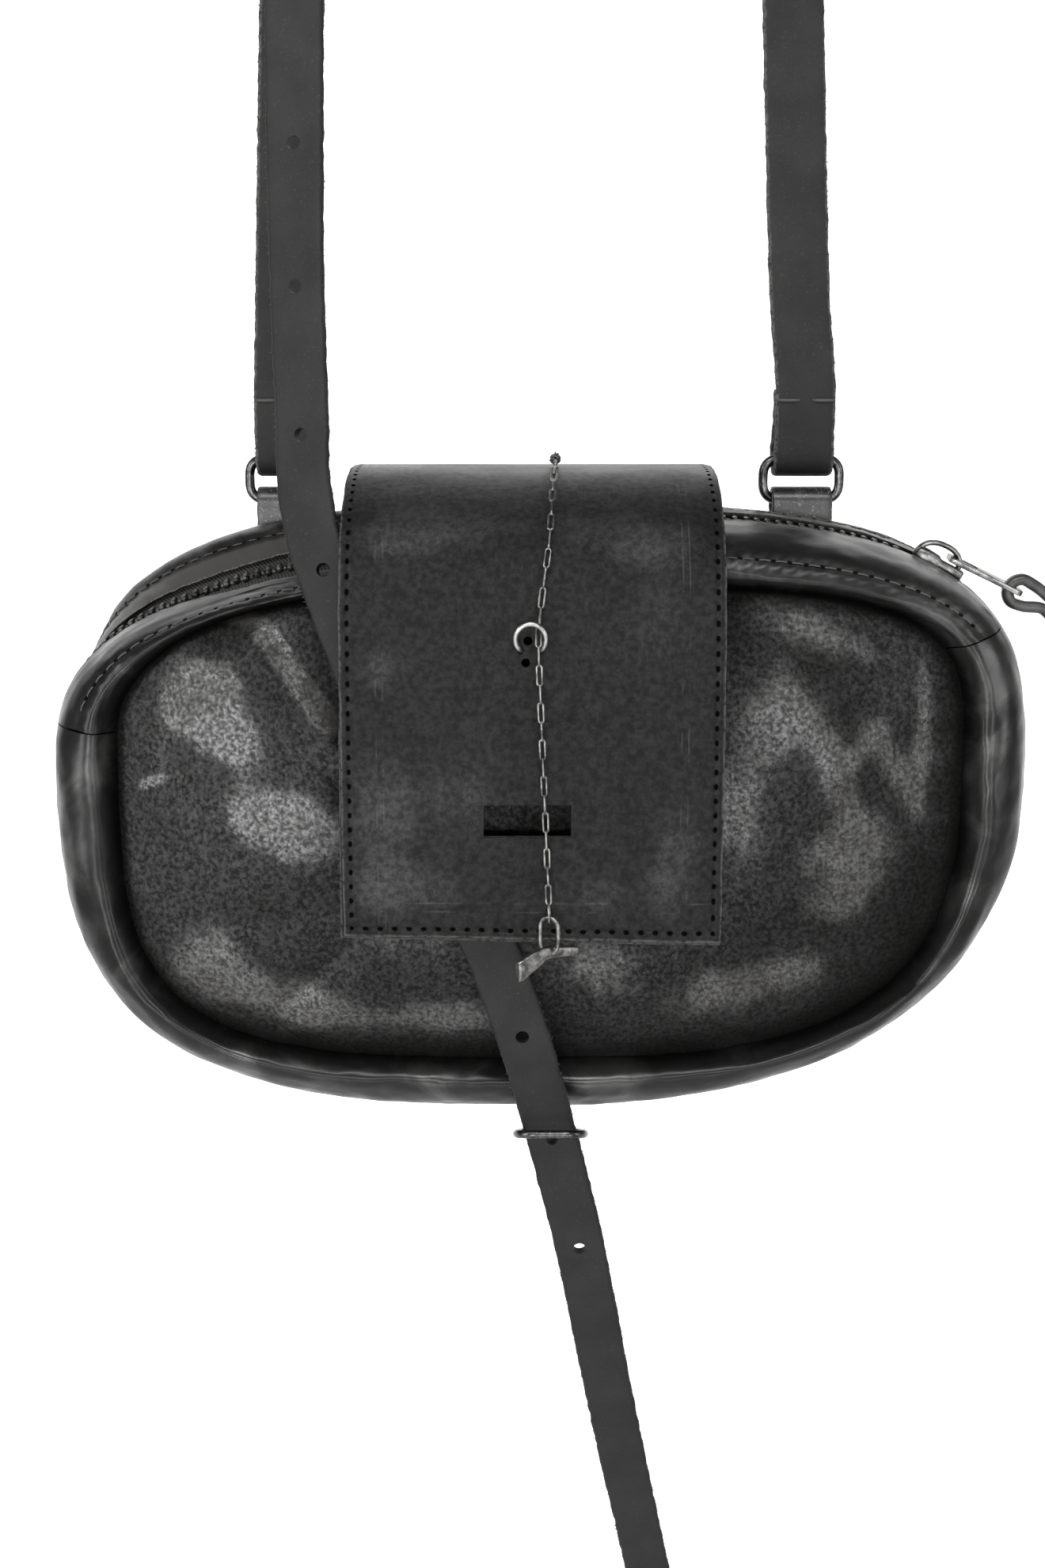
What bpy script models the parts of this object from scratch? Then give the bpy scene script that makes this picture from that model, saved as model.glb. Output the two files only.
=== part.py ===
"""Leather shoulder bag: an oval zipped body under a flap, with chain and toggle, and a long perforated strap.

Metres, +Z up, the front faces -Y. The origin is under the top of the strap, where a shoulder carries it.
The bag is modelled round its own centre, and an empty there carries every piece.
"""

import math

import bmesh
import bpy
from mathutils import Vector

# Body
BAG_WIDTH = 0.3092
BAG_RISE = 0.080
BAG_DROP = 0.1135
BAG_DEPTH = 0.066
SIDE_SEAM_INSET = 0.0236
TOP_SEAM_INSET = 0.0225
BACK_TOP_INSET = 0.007
BOTTOM_SEAM_INSET = 0.0205
FRONT_BULGE = 0.019
BACK_BULGE = 0.010
WALL = 0.0018
JOIN_GAP = 0.0003

# Zip
ZIP_GAP = 0.0090
TAPE_LAP = 0.004
TAPE_WALL = 0.0008
TAPE_SINK = 0.0013
TOOTH_PITCH = 0.0032
TOOTH_LENGTH = 0.0046
TOOTH_HEIGHT = 0.0016
SLIDER_LENGTH = 0.017
SLIDER_WIDTH = 0.0082
SLIDER_HEIGHT = 0.0022
PULL_LENGTH = 0.026
PULL_WIDTH = 0.0080
PULL_WALL = 0.0014
PULL_WIRE = 0.0016
THONG_WALL = 0.0022
THONG_WIDTH = 0.0050
THONG_LENGTH = 0.030
PULL_WINDOW = 0.0080
PULL_LIFT = 3

# Flap
FLAP_WIDTH = 0.112
FLAP_CENTRE = -0.0025
FLAP_WALL = 0.0014
FLAP_STANDOFF = 0.0125
FLAP_SKEW = 0.0024
LINING_PEEK = 0.0012
SLOT_WIDTH = 0.0258
SLOT_HEIGHT = 0.0100
SLOT_CENTRE = -0.0040
SLOT_DROP = -0.0077
PUNCH_DIAMETER = 0.0026

# Flap ring, chain and toggle
FLAP_RING_SPAN = 0.0103
FLAP_RING_WIRE = 0.0015
FLAP_RING_X = -0.0031
FLAP_RING_Z = 0.0455
FLAP_RING_STANDOFF = 0.0042
LINK_LENGTH = 0.0065
LINK_WIDTH = 0.0021
LINK_WIRE = 0.00062
LINK_BITE = 0.00016
LINK_WIRE_SIDES = 5
KNOT_WIDTH = 0.0034
END_LINK_LENGTH = 0.0123
END_LINK_WIDTH = 0.0074
END_LINK_WIRE = 0.0013
END_LINK_TURN = 32
TOGGLE_LENGTH = 0.0240
TOGGLE_BROAD = 0.0066
TOGGLE_NECK = 0.0037
TOGGLE_THICKNESS = 0.0025

# Straps, rings and tabs
STRAP_RISE = 0.425
STRAP_WIDTH = 0.0200
STRAP_TIP_WIDTH = 0.0156
STRAP_WALL = 0.0030
STRAP_FLOAT = 0.0025
STRAP_FOLD_LENGTH = 0.022
TAIL_DROP = 0.307
HOLE_DIAMETER = 0.0042
HOLE_PITCH = 0.0410
RING_WIDTH = 0.0286
RING_HEIGHT = 0.0180
RING_WIRE = 0.0032
RING_CORNER = 0.085
RIGHT_RING_SHARE = 0.5666
LEFT_RING_SHARE = -0.542
RING_Z = 0.0866
TAB_WIDTH = 0.0200
TAB_WALL = 0.0016
TAB_LENGTH = 0.026
PANEL_SWELL = 0.0017
BOTTOM_RING_WIDTH = 0.0240
BOTTOM_RING_REACH = 0.0290
BOTTOM_RING_WIRE = 0.0026
BOTTOM_RING_X = 0.0035
BOTTOM_RING_TILT = 21
BOTTOM_RING_SINK = 0.0030
BOTTOM_TAB_WIDTH = 0.0100
BUCKLE_WIDTH = 0.0290
BUCKLE_HEIGHT = 0.0230
BUCKLE_WIRE = 0.0030

# Worked out from the sizes above
HALF_WIDTH = BAG_WIDTH / 2
RIGHT_RING_X = RIGHT_RING_SHARE * HALF_WIDTH
LEFT_RING_X = LEFT_RING_SHARE * HALF_WIDTH
HALF_DEPTH = BAG_DEPTH / 2
SEAM_HALF_WIDTH = HALF_WIDTH - SIDE_SEAM_INSET
SEAM_DROP = BAG_DROP - BOTTOM_SEAM_INSET
FRONT_FACE = 0.85 * HALF_DEPTH + FRONT_BULGE
BACK_FACE = 0.85 * HALF_DEPTH + BACK_BULGE
FLAP_FRONT = FRONT_FACE + FLAP_STANDOFF
FLAP_BACK = BACK_FACE + JOIN_GAP
FLAP_LAYERS = 2 * FLAP_WALL + JOIN_GAP
RING_Y = 0.95 * HALF_DEPTH + 2 * JOIN_GAP + TAB_WALL + RING_WIRE / 2 + RING_CORNER * RING_HEIGHT

# Angles in degrees round the bag from its right side, where the zip strips are sewn to the gusset
RIGHT_CROSS_SEAM = 17.5
SLIDER_ANGLE = 26.0
LEFT_CROSS_SEAM = 174.5
RING_SECTIONS = 38

# Outlines round the bag: insets from the outer one, and how square each corner is
OUTLINES = {
    # name: (side inset, top inset, bottom inset, top right, top left, bottom left, bottom right)
    "outer": (0.0, 0.0, 0.0, 3.2, 2.72, 2.95, 2.30),
    "front": (SIDE_SEAM_INSET, TOP_SEAM_INSET, BOTTOM_SEAM_INSET, 4.0, 2.8, 3.8, 3.0),
    "back": (SIDE_SEAM_INSET, BACK_TOP_INSET, BOTTOM_SEAM_INSET, 3.2, 2.5, 3.4, 2.8),
}

# Cross section of the bag's rim from the front seam to the back seam, in three regions. y is a share of half
# the depth, out is a share of the way from the seam to the outer outline, lip is a share of half the zip gap.
SECTION = (
    # seam, side y, side out, left y, left out, right y, right out, lip
    ("front", -0.85, 0.00, -0.90, 0.00, -0.88, 0.00, 0),
    ("front", -1.09, 0.30, -1.05, 0.13, -1.08, 0.26, 0),
    ("front", -0.85, 0.78, -0.72, 0.29, -0.82, 0.70, 0),
    ("front", -0.36, 0.97, -0.15, 0.41, 0.00, 0.90, -1),
    ("front", 0.00, 1.00, -0.15, 0.47, 0.00, 0.92, 0),
    ("front", 0.36, 0.97, -0.15, 0.54, 0.00, 0.94, 1),
    ("back", 0.85, 0.80, 0.50, 1.00, 0.50, 1.00, 0),
    ("back", 1.06, 0.35, 0.95, 0.55, 0.95, 0.55, 0),
    ("back", 0.85, 0.00, 0.92, 0.00, 0.92, 0.00, 0),
)

# Folds and dents of the front panel: ends as shares of the seam's half width and drop, then width and height
FOLDS = (
    # name, x 1, z 1, x 2, z 2, width, height
    ("shoulder_ridge", -0.69, 0.49, -0.45, 0.10, 0.085, 0.0035),
    ("shoulder_valley", -0.60, 0.46, -0.42, 0.22, 0.080, -0.0045),
    ("lower_left_crease", -0.38, -0.42, -0.61, -0.78, 0.060, -0.0018),
    ("right_crumple", 0.52, 0.46, 0.83, 0.39, 0.090, -0.0030),
    ("right_wave", 0.61, 0.28, 0.68, 0.03, 0.070, 0.0022),
    ("right_cross", 0.75, 0.23, 0.91, 0.08, 0.060, -0.0016),
    ("lower_right_crease", 0.53, -0.60, 0.59, -0.78, 0.060, -0.0014),
)

# The flap's path from its sewn end to its free edge: y is a share of the flap's distance from the middle,
# in front where it is negative, and z is a share of the bag's rise
FLAP_PATH = (
    # name, y, z
    ("sewn_end", 0.978, 0.30),
    ("sewn_top", 0.985, 0.72),
    ("behind_ridge", 0.97, 0.94),
    ("over_ridge", 0.58, 1.09),
    ("crest", 0.13, 1.122),
    ("front_crest", -0.37, 1.098),
    ("front_shoulder", -0.71, 0.98),
    ("front_turn", -0.89, 0.81),
    ("front_upper", -0.97, 0.56),
    ("front_middle", -1.00, 0.06),
    ("free_edge", -1.00, -0.53),
)

# The strap over the shoulder, up from the right ring. x is a share of the bag's half width, y of its half
# depth, z of the strap's rise, and turn is the way its width points, in degrees from +X towards +Y.
OVER_ROUTE = (
    # name, x, y, z, turn
    ("right_low", 0.552, 1.00, 0.32, 0),
    ("right_middle", 0.511, 0.76, 0.55, 4),
    ("right_high", 0.490, 0.60, 0.70, 34),
    ("right_shoulder", 0.440, 0.45, 0.85, 72),
    ("right_arch", 0.280, 0.33, 0.965, 88),
    ("top", 0.025, 0.24, 1.00, 90),
    ("left_arch", -0.235, 0.18, 0.965, 92),
    ("left_shoulder", -0.395, 0.24, 0.88, 110),
    ("above_buckle", -0.448, 0.35, 0.79, 160),
    ("in_buckle", -0.459, 0.00, 0.741, 178),
    ("below_buckle", -0.464, -0.38, 0.69, 178),
    ("tail_high", -0.466, -0.50, 0.53, 176),
    ("tail_turning", -0.464, -0.86, 0.37, 162),
    ("tail_low", -0.456, -1.04, 0.26, 160),
)

# The tail in front of the bag. x is a share of the bag's half width, y of the strap's distance in front of
# the middle, z of the bag's drop.
FRONT_ROUTE = (
    # name, x, y, z, turn
    ("beside_flap", -0.450, 0.76, 0.740, 160),
    ("above_flap", -0.415, 0.860, 0.571, 168),
    ("behind_flap_edge", -0.333, 0.965, 0.274, 172),
    ("behind_flap", -0.240, 1.00, -0.052, 178),
    ("behind_slot", -0.175, 1.00, -0.233, 180),
    ("below_flap", -0.105, 1.00, -0.413, 180),
    ("lower_panel", -0.033, 0.965, -0.698, 180),
)

# The free end below the bottom ring: x is a share of the bag's half width, y of its half depth, z of the drop
# from the middle to the tip
TAIL_ROUTE = (
    # name, x, y, z, turn
    ("below_ring", 0.082, -1.05, -0.50, 180),
    ("swinging", 0.168, -0.42, -0.745, 181),
    ("tip", 0.265, 0.24, -1.00, 182),
)

# Punched holes of the tail, in pitches along it from its tip
HOLES = (3.90, 4.89, 5.88, 6.85, 7.75, 8.64, 9.65, 10.64, 11.69, 12.70)

# The chain's route: x, the distance above the flap's free edge, and its lift off the flap, in metres
CHAIN_ROUTE = (
    ("knot", 0.0048, 0.1585, 0.0015),
    ("front_crest", 0.0040, 0.1435, 0.0015),
    ("shoulder", 0.0025, 0.1170, 0.0015),
    ("above_ring", 0.0005, 0.1020, 0.0015),
    ("ring_top", -0.0004, 0.0945, 0.0015),
    ("in_ring", -0.0008, 0.0875, 0.0027),
    ("below_ring", -0.0006, 0.0790, 0.0028),
    ("upper_front", 0.0005, 0.0530, 0.0015),
    ("over_slot", 0.0014, 0.0330, 0.0015),
    ("lower_front", 0.0020, 0.0180, 0.0017),
    ("end_link", 0.0024, 0.0080, 0.0032),
)

# The toggle from its broad left end to its right end: place along it, drop, height and thickness as shares
TOGGLE = (
    # along, drop, height, thickness
    (-0.46, 0.64, 0.75, 0.75),
    (-0.42, 0.62, 1.00, 1.00),
    (-0.28, 0.38, 0.80, 1.05),
    (-0.12, 0.12, 0.40, 1.00),
    (0.00, 0.00, 0.00, 0.95),
    (0.14, 0.04, -0.10, 0.95),
    (0.28, 0.09, -0.20, 0.90),
    (0.38, 0.12, -0.35, 0.80),
    (0.42, 0.12, -0.60, 0.60),
)

MATERIALS = {
    # name: (red, green, blue, roughness, metallic)
    "glossy_leather": (0.030, 0.028, 0.027, 0.38, 0.0),
    "flap_leather": (0.022, 0.022, 0.023, 0.45, 0.0),
    "strap_leather": (0.045, 0.045, 0.044, 0.75, 0.0),
    "zip_tape": (0.012, 0.012, 0.012, 0.90, 0.0),
    "dark_metal": (0.10, 0.10, 0.10, 0.40, 1.0),
    "grey_metal": (0.42, 0.42, 0.41, 0.45, 1.0),
}


def start():
    """Clear the file and make the two collections and the empty at the bag's centre."""
    for old in list(bpy.data.objects):
        bpy.data.objects.remove(old, do_unlink=True)
    bag = bpy.data.collections.new("leather_shoulder_bag")
    cutters = bpy.data.collections.new("cutters")
    for collection in (bag, cutters):
        bpy.context.scene.collection.children.link(collection)
    centre = bpy.data.objects.new("bag_centre", None)
    centre.empty_display_size = 0.05
    bag.objects.link(centre)
    return bag, cutters, centre


BAG, CUTTERS, CENTRE = start()


def material(name):
    """A plain Principled material from the table."""
    found = bpy.data.materials.get(name)
    if found:
        return found
    red, green, blue, roughness, metallic = MATERIALS[name]
    made = bpy.data.materials.new(name)
    made.use_nodes = True
    shader = made.node_tree.nodes["Principled BSDF"]
    shader.inputs["Base Color"].default_value = (red, green, blue, 1.0)
    shader.inputs["Roughness"].default_value = roughness
    shader.inputs["Metallic"].default_value = metallic
    return made


def add_piece(name, mesh, look, location=(0, 0, 0), cutter=False):
    """Put a mesh in the file as a named piece with its own material, or as a cutter."""
    piece = bpy.data.objects.new(name, mesh)
    piece.location = location
    piece.parent = CENTRE
    if cutter:
        CUTTERS.objects.link(piece)
        piece.hide_render = True
        piece.display_type = "WIRE"
        return piece
    BAG.objects.link(piece)
    own = material(look).copy()
    own.name = name
    mesh.materials.append(own)
    mesh.shade_smooth()
    mesh.set_sharp_from_angle(angle=math.radians(40))
    return piece


def mesh_of(name, points, faces):
    mesh = bpy.data.meshes.new(name)
    mesh.from_pydata([tuple(p) for p in points], [], faces)
    mesh.validate()
    mesh.update()
    return mesh


def weld(mesh):
    """Join the points that lie on each other."""
    work = bmesh.new()
    work.from_mesh(mesh)
    bmesh.ops.remove_doubles(work, verts=work.verts, dist=0.00001)
    bmesh.ops.recalc_face_normals(work, faces=work.faces)
    work.to_mesh(mesh)
    work.free()
    mesh.update()
    return mesh


def solidify(piece, wall):
    """Give an open surface its leather, on the side away from its normals."""
    shell = piece.modifiers.new("wall", "SOLIDIFY")
    shell.thickness = wall
    shell.offset = -1
    shell.use_even_offset = False
    return shell


def clamp(value, low=0.0, high=1.0):
    return max(low, min(high, value))


def ease(low, high, value):
    """0 below low, 1 above high, and smooth between."""
    share = clamp((value - low) / (high - low))
    return share * share * (3 - 2 * share)


def spline(rows, at):
    """Read a smooth curve through equally spaced rows of numbers at a row number that may be a fraction."""
    last = len(rows) - 1
    at = clamp(at, 0.0, last)
    i = min(int(at), last - 1)
    t = at - i
    found = []
    for column in range(len(rows[0])):
        b, c = rows[i][column], rows[i + 1][column]
        a = rows[i - 1][column] if i > 0 else 2 * b - c
        d = rows[i + 2][column] if i + 2 <= last else 2 * c - b
        found.append(0.5 * (2 * b + (c - a) * t + (2 * a - 5 * b + 4 * c - d) * t * t
                            + (3 * b - a - 3 * c + d) * t ** 3))
    return found


def even_path(rows, step):
    """Points at even distances along the smooth curve through the rows."""
    fine = [spline(rows, i / 40) for i in range(40 * (len(rows) - 1) + 1)]
    lengths = [0.0]
    for a, b in zip(fine, fine[1:]):
        lengths.append(lengths[-1] + math.dist(a[:3], b[:3]))
    count = max(2, round(lengths[-1] / step))
    points, k = [], 0
    for i in range(count + 1):
        want = lengths[-1] * i / count
        while k < len(lengths) - 2 and lengths[k + 1] < want:
            k += 1
        share = clamp((want - lengths[k]) / (lengths[k + 1] - lengths[k]))
        points.append([p + (q - p) * share for p, q in zip(fine[k], fine[k + 1])])
    return points, lengths[-1]


def corner_value(values, angle):
    """Blend the four corner values (top right, top left, bottom left, bottom right) round the bag."""
    quarter = (angle % 360) / 90
    here = int(quarter) % 4
    within = quarter - int(quarter)
    if within < 0.17:
        return values[here] + (values[here - 1] - values[here]) * (0.5 - 0.5 * ease(0, 0.17, within))
    if within > 0.83:
        return values[here] + (values[(here + 1) % 4] - values[here]) * 0.5 * ease(0.83, 1.0, within)
    return values[here]


def outline_reach(name, angle):
    """Distance from the bag's centre to an outline, at an angle in degrees from +X towards +Z."""
    side, top, bottom, *corners = OUTLINES[name]
    power = corner_value(corners, angle)
    height = (BAG_RISE - top) if math.sin(math.radians(angle)) > 0 else (BAG_DROP - bottom)
    x = abs(math.cos(math.radians(angle))) / (HALF_WIDTH - side)
    z = abs(math.sin(math.radians(angle))) / height
    return (x ** power + z ** power) ** (-1 / power)


def section_rows(angle):
    """The rim's cross section at one angle, as rows of (y, reach)."""
    angle = angle % 360
    top = ease(0, 34, angle) * (1 - ease(150, 180, angle)) if angle < 180 else 0.0
    left = ease(75, 105, angle)
    outer = outline_reach("outer", angle)
    rows = []
    for seam, y_side, out_side, y_left, out_left, y_right, out_right, lip in SECTION:
        y_top = y_right + (y_left - y_right) * left
        out_top = out_right + (out_left - out_right) * left
        base = outline_reach(seam, angle)
        y = (y_side + (y_top - y_side) * top) * HALF_DEPTH + lip * top * ZIP_GAP / 2
        out = out_side + (out_top - out_side) * top
        rows.append((y, base + (outer - base) * out))
    return rows


def rim_point(angle, row, depth=0.0):
    """A point of the rim's surface, moved into the leather by a depth along its own normal."""
    rows = section_rows(angle)
    y, reach = spline(rows, row)
    if depth:
        y_1, reach_1 = spline(rows, row - 0.02)
        y_2, reach_2 = spline(rows, row + 0.02)
        across = Vector((y_2 - y_1, reach_2 - reach_1)).normalized()
        y += depth * across.y
        reach -= depth * across.x
    turn = math.radians(angle)
    return Vector((reach * math.cos(turn), y, reach * math.sin(turn)))


def even_angles():
    """Angles round the bag at even distances along its outer outline, with the cross seams among them."""
    fine = [i * 0.5 for i in range(721)]
    lengths = [0.0]
    for a, b in zip(fine, fine[1:]):
        lengths.append(lengths[-1] + (rim_point(b, 4) - rim_point(a, 4)).length)
    angles = []
    for i in range(RING_SECTIONS):
        want = lengths[-1] * i / RING_SECTIONS
        k = next(n for n, length in enumerate(lengths) if length >= want)
        angles.append(fine[k])
    for seam in (RIGHT_CROSS_SEAM, LEFT_CROSS_SEAM):
        nearest = min(range(len(angles)), key=lambda n: abs(angles[n] - seam))
        angles[nearest] = seam
    return sorted(angles)


ANGLES = even_angles()


def rim_piece(name, look, angles, rows, wall=WALL, depth=0.0):
    """A strip of the rim between two rows of its section, along some of the angles.

    Each section is a closed band in its own plane through the bag's middle, so that neighbours meet squarely.
    """
    sections = []
    for angle in angles:
        outer = [rim_point(angle, row, depth) for row in rows]
        inner = [rim_point(angle, row, depth + wall) for row in reversed(rows)]
        sections.append(outer + inner)
    return loft(name, sections, look)


def fold_height(x, z):
    """How far the folds push the front panel out at a place."""
    total = 0.0
    for _, x_1, z_1, x_2, z_2, width, height in FOLDS:
        a = Vector((x_1 * SEAM_HALF_WIDTH, z_1 * SEAM_DROP))
        b = Vector((x_2 * SEAM_HALF_WIDTH, z_2 * SEAM_DROP))
        along = clamp((Vector((x, z)) - a).dot(b - a) / (b - a).length_squared)
        away = (Vector((x, z)) - a.lerp(b, along)).length / (width * SEAM_HALF_WIDTH)
        total += height * math.exp(-away * away)
    return total


def panel_point(side, angle, share):
    """A point of the front or back panel: side is -1 in front and 1 behind, share is 1 at the seam."""
    edge = rim_point(angle, 0 if side < 0 else 8)
    reach = math.hypot(edge.x, edge.z)
    scale = share * (reach - JOIN_GAP) / reach
    face = FRONT_FACE if side < 0 else BACK_FACE
    power = 3.0 if side < 0 else 2.4
    y = abs(edge.y) + (face - abs(edge.y)) * (1 - share ** power)
    x, z = edge.x * scale, edge.z * scale
    if side < 0:
        y += fold_height(x, z) * ease(1.0, 0.8, share)
    return Vector((x, side * y, z))


def panel(name, side, shares):
    """The front or back panel as rings of points round its middle."""
    points = [panel_point(side, angle, share) for share in shares for angle in ANGLES]
    count = len(ANGLES)
    middle = len(points)
    points.append(panel_point(side, 0.0, 0.0))
    faces = []
    for k in range(len(shares) - 1):
        for i in range(count):
            a, b = k * count + i, k * count + (i + 1) % count
            faces.append((a, b, b + count, a + count))
    last = (len(shares) - 1) * count
    for i in range(count):
        faces.append((last + i, last + (i + 1) % count, middle))
    if side > 0:
        faces = [tuple(reversed(face)) for face in faces]
    piece = add_piece(name, mesh_of(name, points, faces), "glossy_leather")
    solidify(piece, WALL)
    return piece


def between(low, high):
    """The ring angles from one to another, going up."""
    turns = [angle + 360 * n for n in (0, 1) for angle in ANGLES]
    return [angle for angle in turns if low - 0.01 <= angle <= high + 0.01]


def drawn_back(angles, gap):
    """The same angles, with both ends drawn back to leave a gap to what they meet."""
    turn = math.degrees(gap / HALF_WIDTH)
    return [angles[0] + turn] + angles[1:-1] + [angles[-1] - turn]


def build_body():
    panel("front_panel", -1, (1.0, 0.92, 0.79, 0.60, 0.34))
    panel("back_panel", 1, (1.0, 0.82, 0.50))
    gusset_angles = between(LEFT_CROSS_SEAM, 360 + RIGHT_CROSS_SEAM)
    rim_piece("gusset_bottom", "glossy_leather", gusset_angles, (0, 0.5, 1, 1.7, 2.8, 5, 6.2, 7.2, 8))
    strip_angles = drawn_back(between(RIGHT_CROSS_SEAM, LEFT_CROSS_SEAM), JOIN_GAP)
    rim_piece("zip_strip_front", "glossy_leather", strip_angles, (0, 0.5, 1, 1.9, 3))
    rim_piece("zip_strip_back", "glossy_leather", strip_angles, (5, 6, 7, 8))


def zip_frame(angle):
    """A place on the zip's line with its directions: along the zip, across it and out of the bag."""
    here = rim_point(angle, 4)
    along = (rim_point(angle - 0.5, 4) - rim_point(angle + 0.5, 4)).normalized()
    across = (rim_point(angle, 4.6) - rim_point(angle, 3.4)).normalized()
    across = (across - along * across.dot(along)).normalized()
    return here, along, across, along.cross(across).normalized()


def zip_angle(from_angle, distance):
    """The angle that lies a distance along the zip towards the right from another."""
    angle = from_angle
    step = 0.25
    left = distance
    while left > 0:
        left -= (rim_point(angle, 4) - rim_point(angle - step, 4)).length
        angle -= step
    return angle


def loft(name, sections, look, location=(0, 0, 0), cutter=False):
    """A closed body through sections that have the same number of points, with flat ends."""
    count = len(sections[0])
    points = [point for section in sections for point in section]
    faces = []
    for i in range(len(sections) - 1):
        for j in range(count):
            a, b = i * count + j, i * count + (j + 1) % count
            faces.append((a, b, b + count, a + count))
    last = (len(sections) - 1) * count
    for j in range((count - 1) // 2):
        cap = tuple(dict.fromkeys((j, j + 1, count - 2 - j, count - 1 - j)))
        faces.append(tuple(reversed(cap)))
        faces.append(tuple(last + corner for corner in cap))
    mesh = weld(mesh_of(name, points, faces))
    return add_piece(name, mesh, look, location, cutter)


def rectangle(centre, across, out, half_width, half_height):
    """A section's four corners, round its direction of travel."""
    return [centre + across * (half_width * a) + out * (half_height * b)
            for a, b in ((-1, -1), (1, -1), (1, 1), (-1, 1))]


def build_zip():
    """The tape under the strips, the closed teeth along it, and the slider with its pull at the right end."""
    depth = WALL + TAPE_SINK
    tape_angles = drawn_back(between(RIGHT_CROSS_SEAM, LEFT_CROSS_SEAM), 4 * JOIN_GAP)
    lap = TAPE_LAP / HALF_DEPTH
    rim_piece("zipper_tape", "zip_tape", tape_angles, (3 - lap, 4, 5 + lap), TAPE_WALL, depth)
    slider_turn = math.degrees(SLIDER_LENGTH / 2 / HALF_WIDTH)
    sections = []
    angle = LEFT_CROSS_SEAM - 2.0
    while angle > SLIDER_ANGLE + slider_turn + 1.0:
        wide = True
        for share in (0.0, 0.5):
            here = zip_angle(angle, TOOTH_PITCH * share) if share else angle
            place, along, across, out = zip_frame(here)
            foot = place - out * WALL
            half = TOOTH_LENGTH / 2 if wide else TOOTH_LENGTH * 0.28
            sections.append([foot - across * half, foot + out * (TOOTH_HEIGHT / 2), foot + across * half])
            wide = False
        angle = zip_angle(angle, TOOTH_PITCH)
    loft("zipper_teeth", sections, "dark_metal")
    build_slider(SLIDER_ANGLE)


def rounded_loop(width, height, count, power=2.0):
    """Points round a loop in its own plane: power 2 is an ellipse, and more is squarer."""
    points = []
    for i in range(count):
        turn = 2 * math.pi * (i + 0.5) / count
        c, s = math.cos(turn), math.sin(turn)
        reach = (abs(c / width) ** power + abs(s / height) ** power) ** (-1 / power)
        points.append((reach * c, reach * s))
    return points


def wire_profile(diameter, sides):
    """The cross section that thin wires are swept with."""
    curve = bpy.data.curves.new("wire_profile", "CURVE")
    line = curve.splines.new("POLY")
    line.points.add(sides - 1)
    for i, spot in enumerate(line.points):
        turn = 2 * math.pi * i / sides
        spot.co = (diameter / 2 * math.cos(turn), diameter / 2 * math.sin(turn), 0, 1)
    line.use_cyclic_u = True
    profile = bpy.data.objects.new("wire_profile", curve)
    CUTTERS.objects.link(profile)
    profile.hide_render = True
    return profile


def wire(name, points, diameter, look, closed=True, profile=None):
    """A round wire along points, as a closed mesh."""
    curve = bpy.data.curves.new(name, "CURVE")
    curve.dimensions = "3D"
    line = curve.splines.new("POLY")
    line.points.add(len(points) - 1)
    for spot, point in zip(line.points, points):
        spot.co = (point[0], point[1], point[2], 1.0)
    line.use_cyclic_u = closed
    if profile:
        curve.bevel_mode = "OBJECT"
        curve.bevel_object = profile
    else:
        curve.bevel_depth = diameter / 2
        curve.bevel_resolution = 1
    curve.use_fill_caps = True
    holder = bpy.data.objects.new(name + "_curve", curve)
    BAG.objects.link(holder)
    graph = bpy.context.evaluated_depsgraph_get()
    mesh = bpy.data.meshes.new_from_object(holder.evaluated_get(graph))
    bpy.data.objects.remove(holder, do_unlink=True)
    bpy.data.curves.remove(curve)
    return add_piece(name, weld(mesh), look)


def union(piece, other):
    """Fuse another piece into this one."""
    fuse = piece.modifiers.new("fuse", "BOOLEAN")
    fuse.operation = "UNION"
    fuse.solver = "EXACT"
    fuse.object = other
    CUTTERS.objects.link(other)
    BAG.objects.unlink(other)
    other.hide_render = True
    other.display_type = "WIRE"


def cut(piece, cutter):
    """Cut a hole or slot in a piece."""
    hole = piece.modifiers.new(cutter.name, "BOOLEAN")
    hole.operation = "DIFFERENCE"
    hole.solver = "EXACT"
    hole.object = cutter


def drill(name, place, axis, diameter, length, sides=10):
    """A round cutter through a place along an axis."""
    work = bmesh.new()
    bmesh.ops.create_cone(work, cap_ends=True, segments=sides, radius1=diameter / 2,
                          radius2=diameter / 2, depth=length)
    turn = Vector((0, 0, 1)).rotation_difference(axis).to_matrix().to_4x4()
    bmesh.ops.transform(work, matrix=turn, verts=work.verts)
    mesh = bpy.data.meshes.new(name)
    work.to_mesh(mesh)
    work.free()
    return add_piece(name, mesh, None, place, cutter=True)


def block(name, low, high):
    """A box cutter between two corners."""
    work = bmesh.new()
    bmesh.ops.create_cube(work, size=1.0)
    for vert in work.verts:
        vert.co = Vector(((low[k] + high[k]) / 2 + vert.co[k] * (high[k] - low[k]) for k in range(3)))
    mesh = bpy.data.meshes.new(name)
    work.to_mesh(mesh)
    work.free()
    return add_piece(name, mesh, None, cutter=True)


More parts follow.
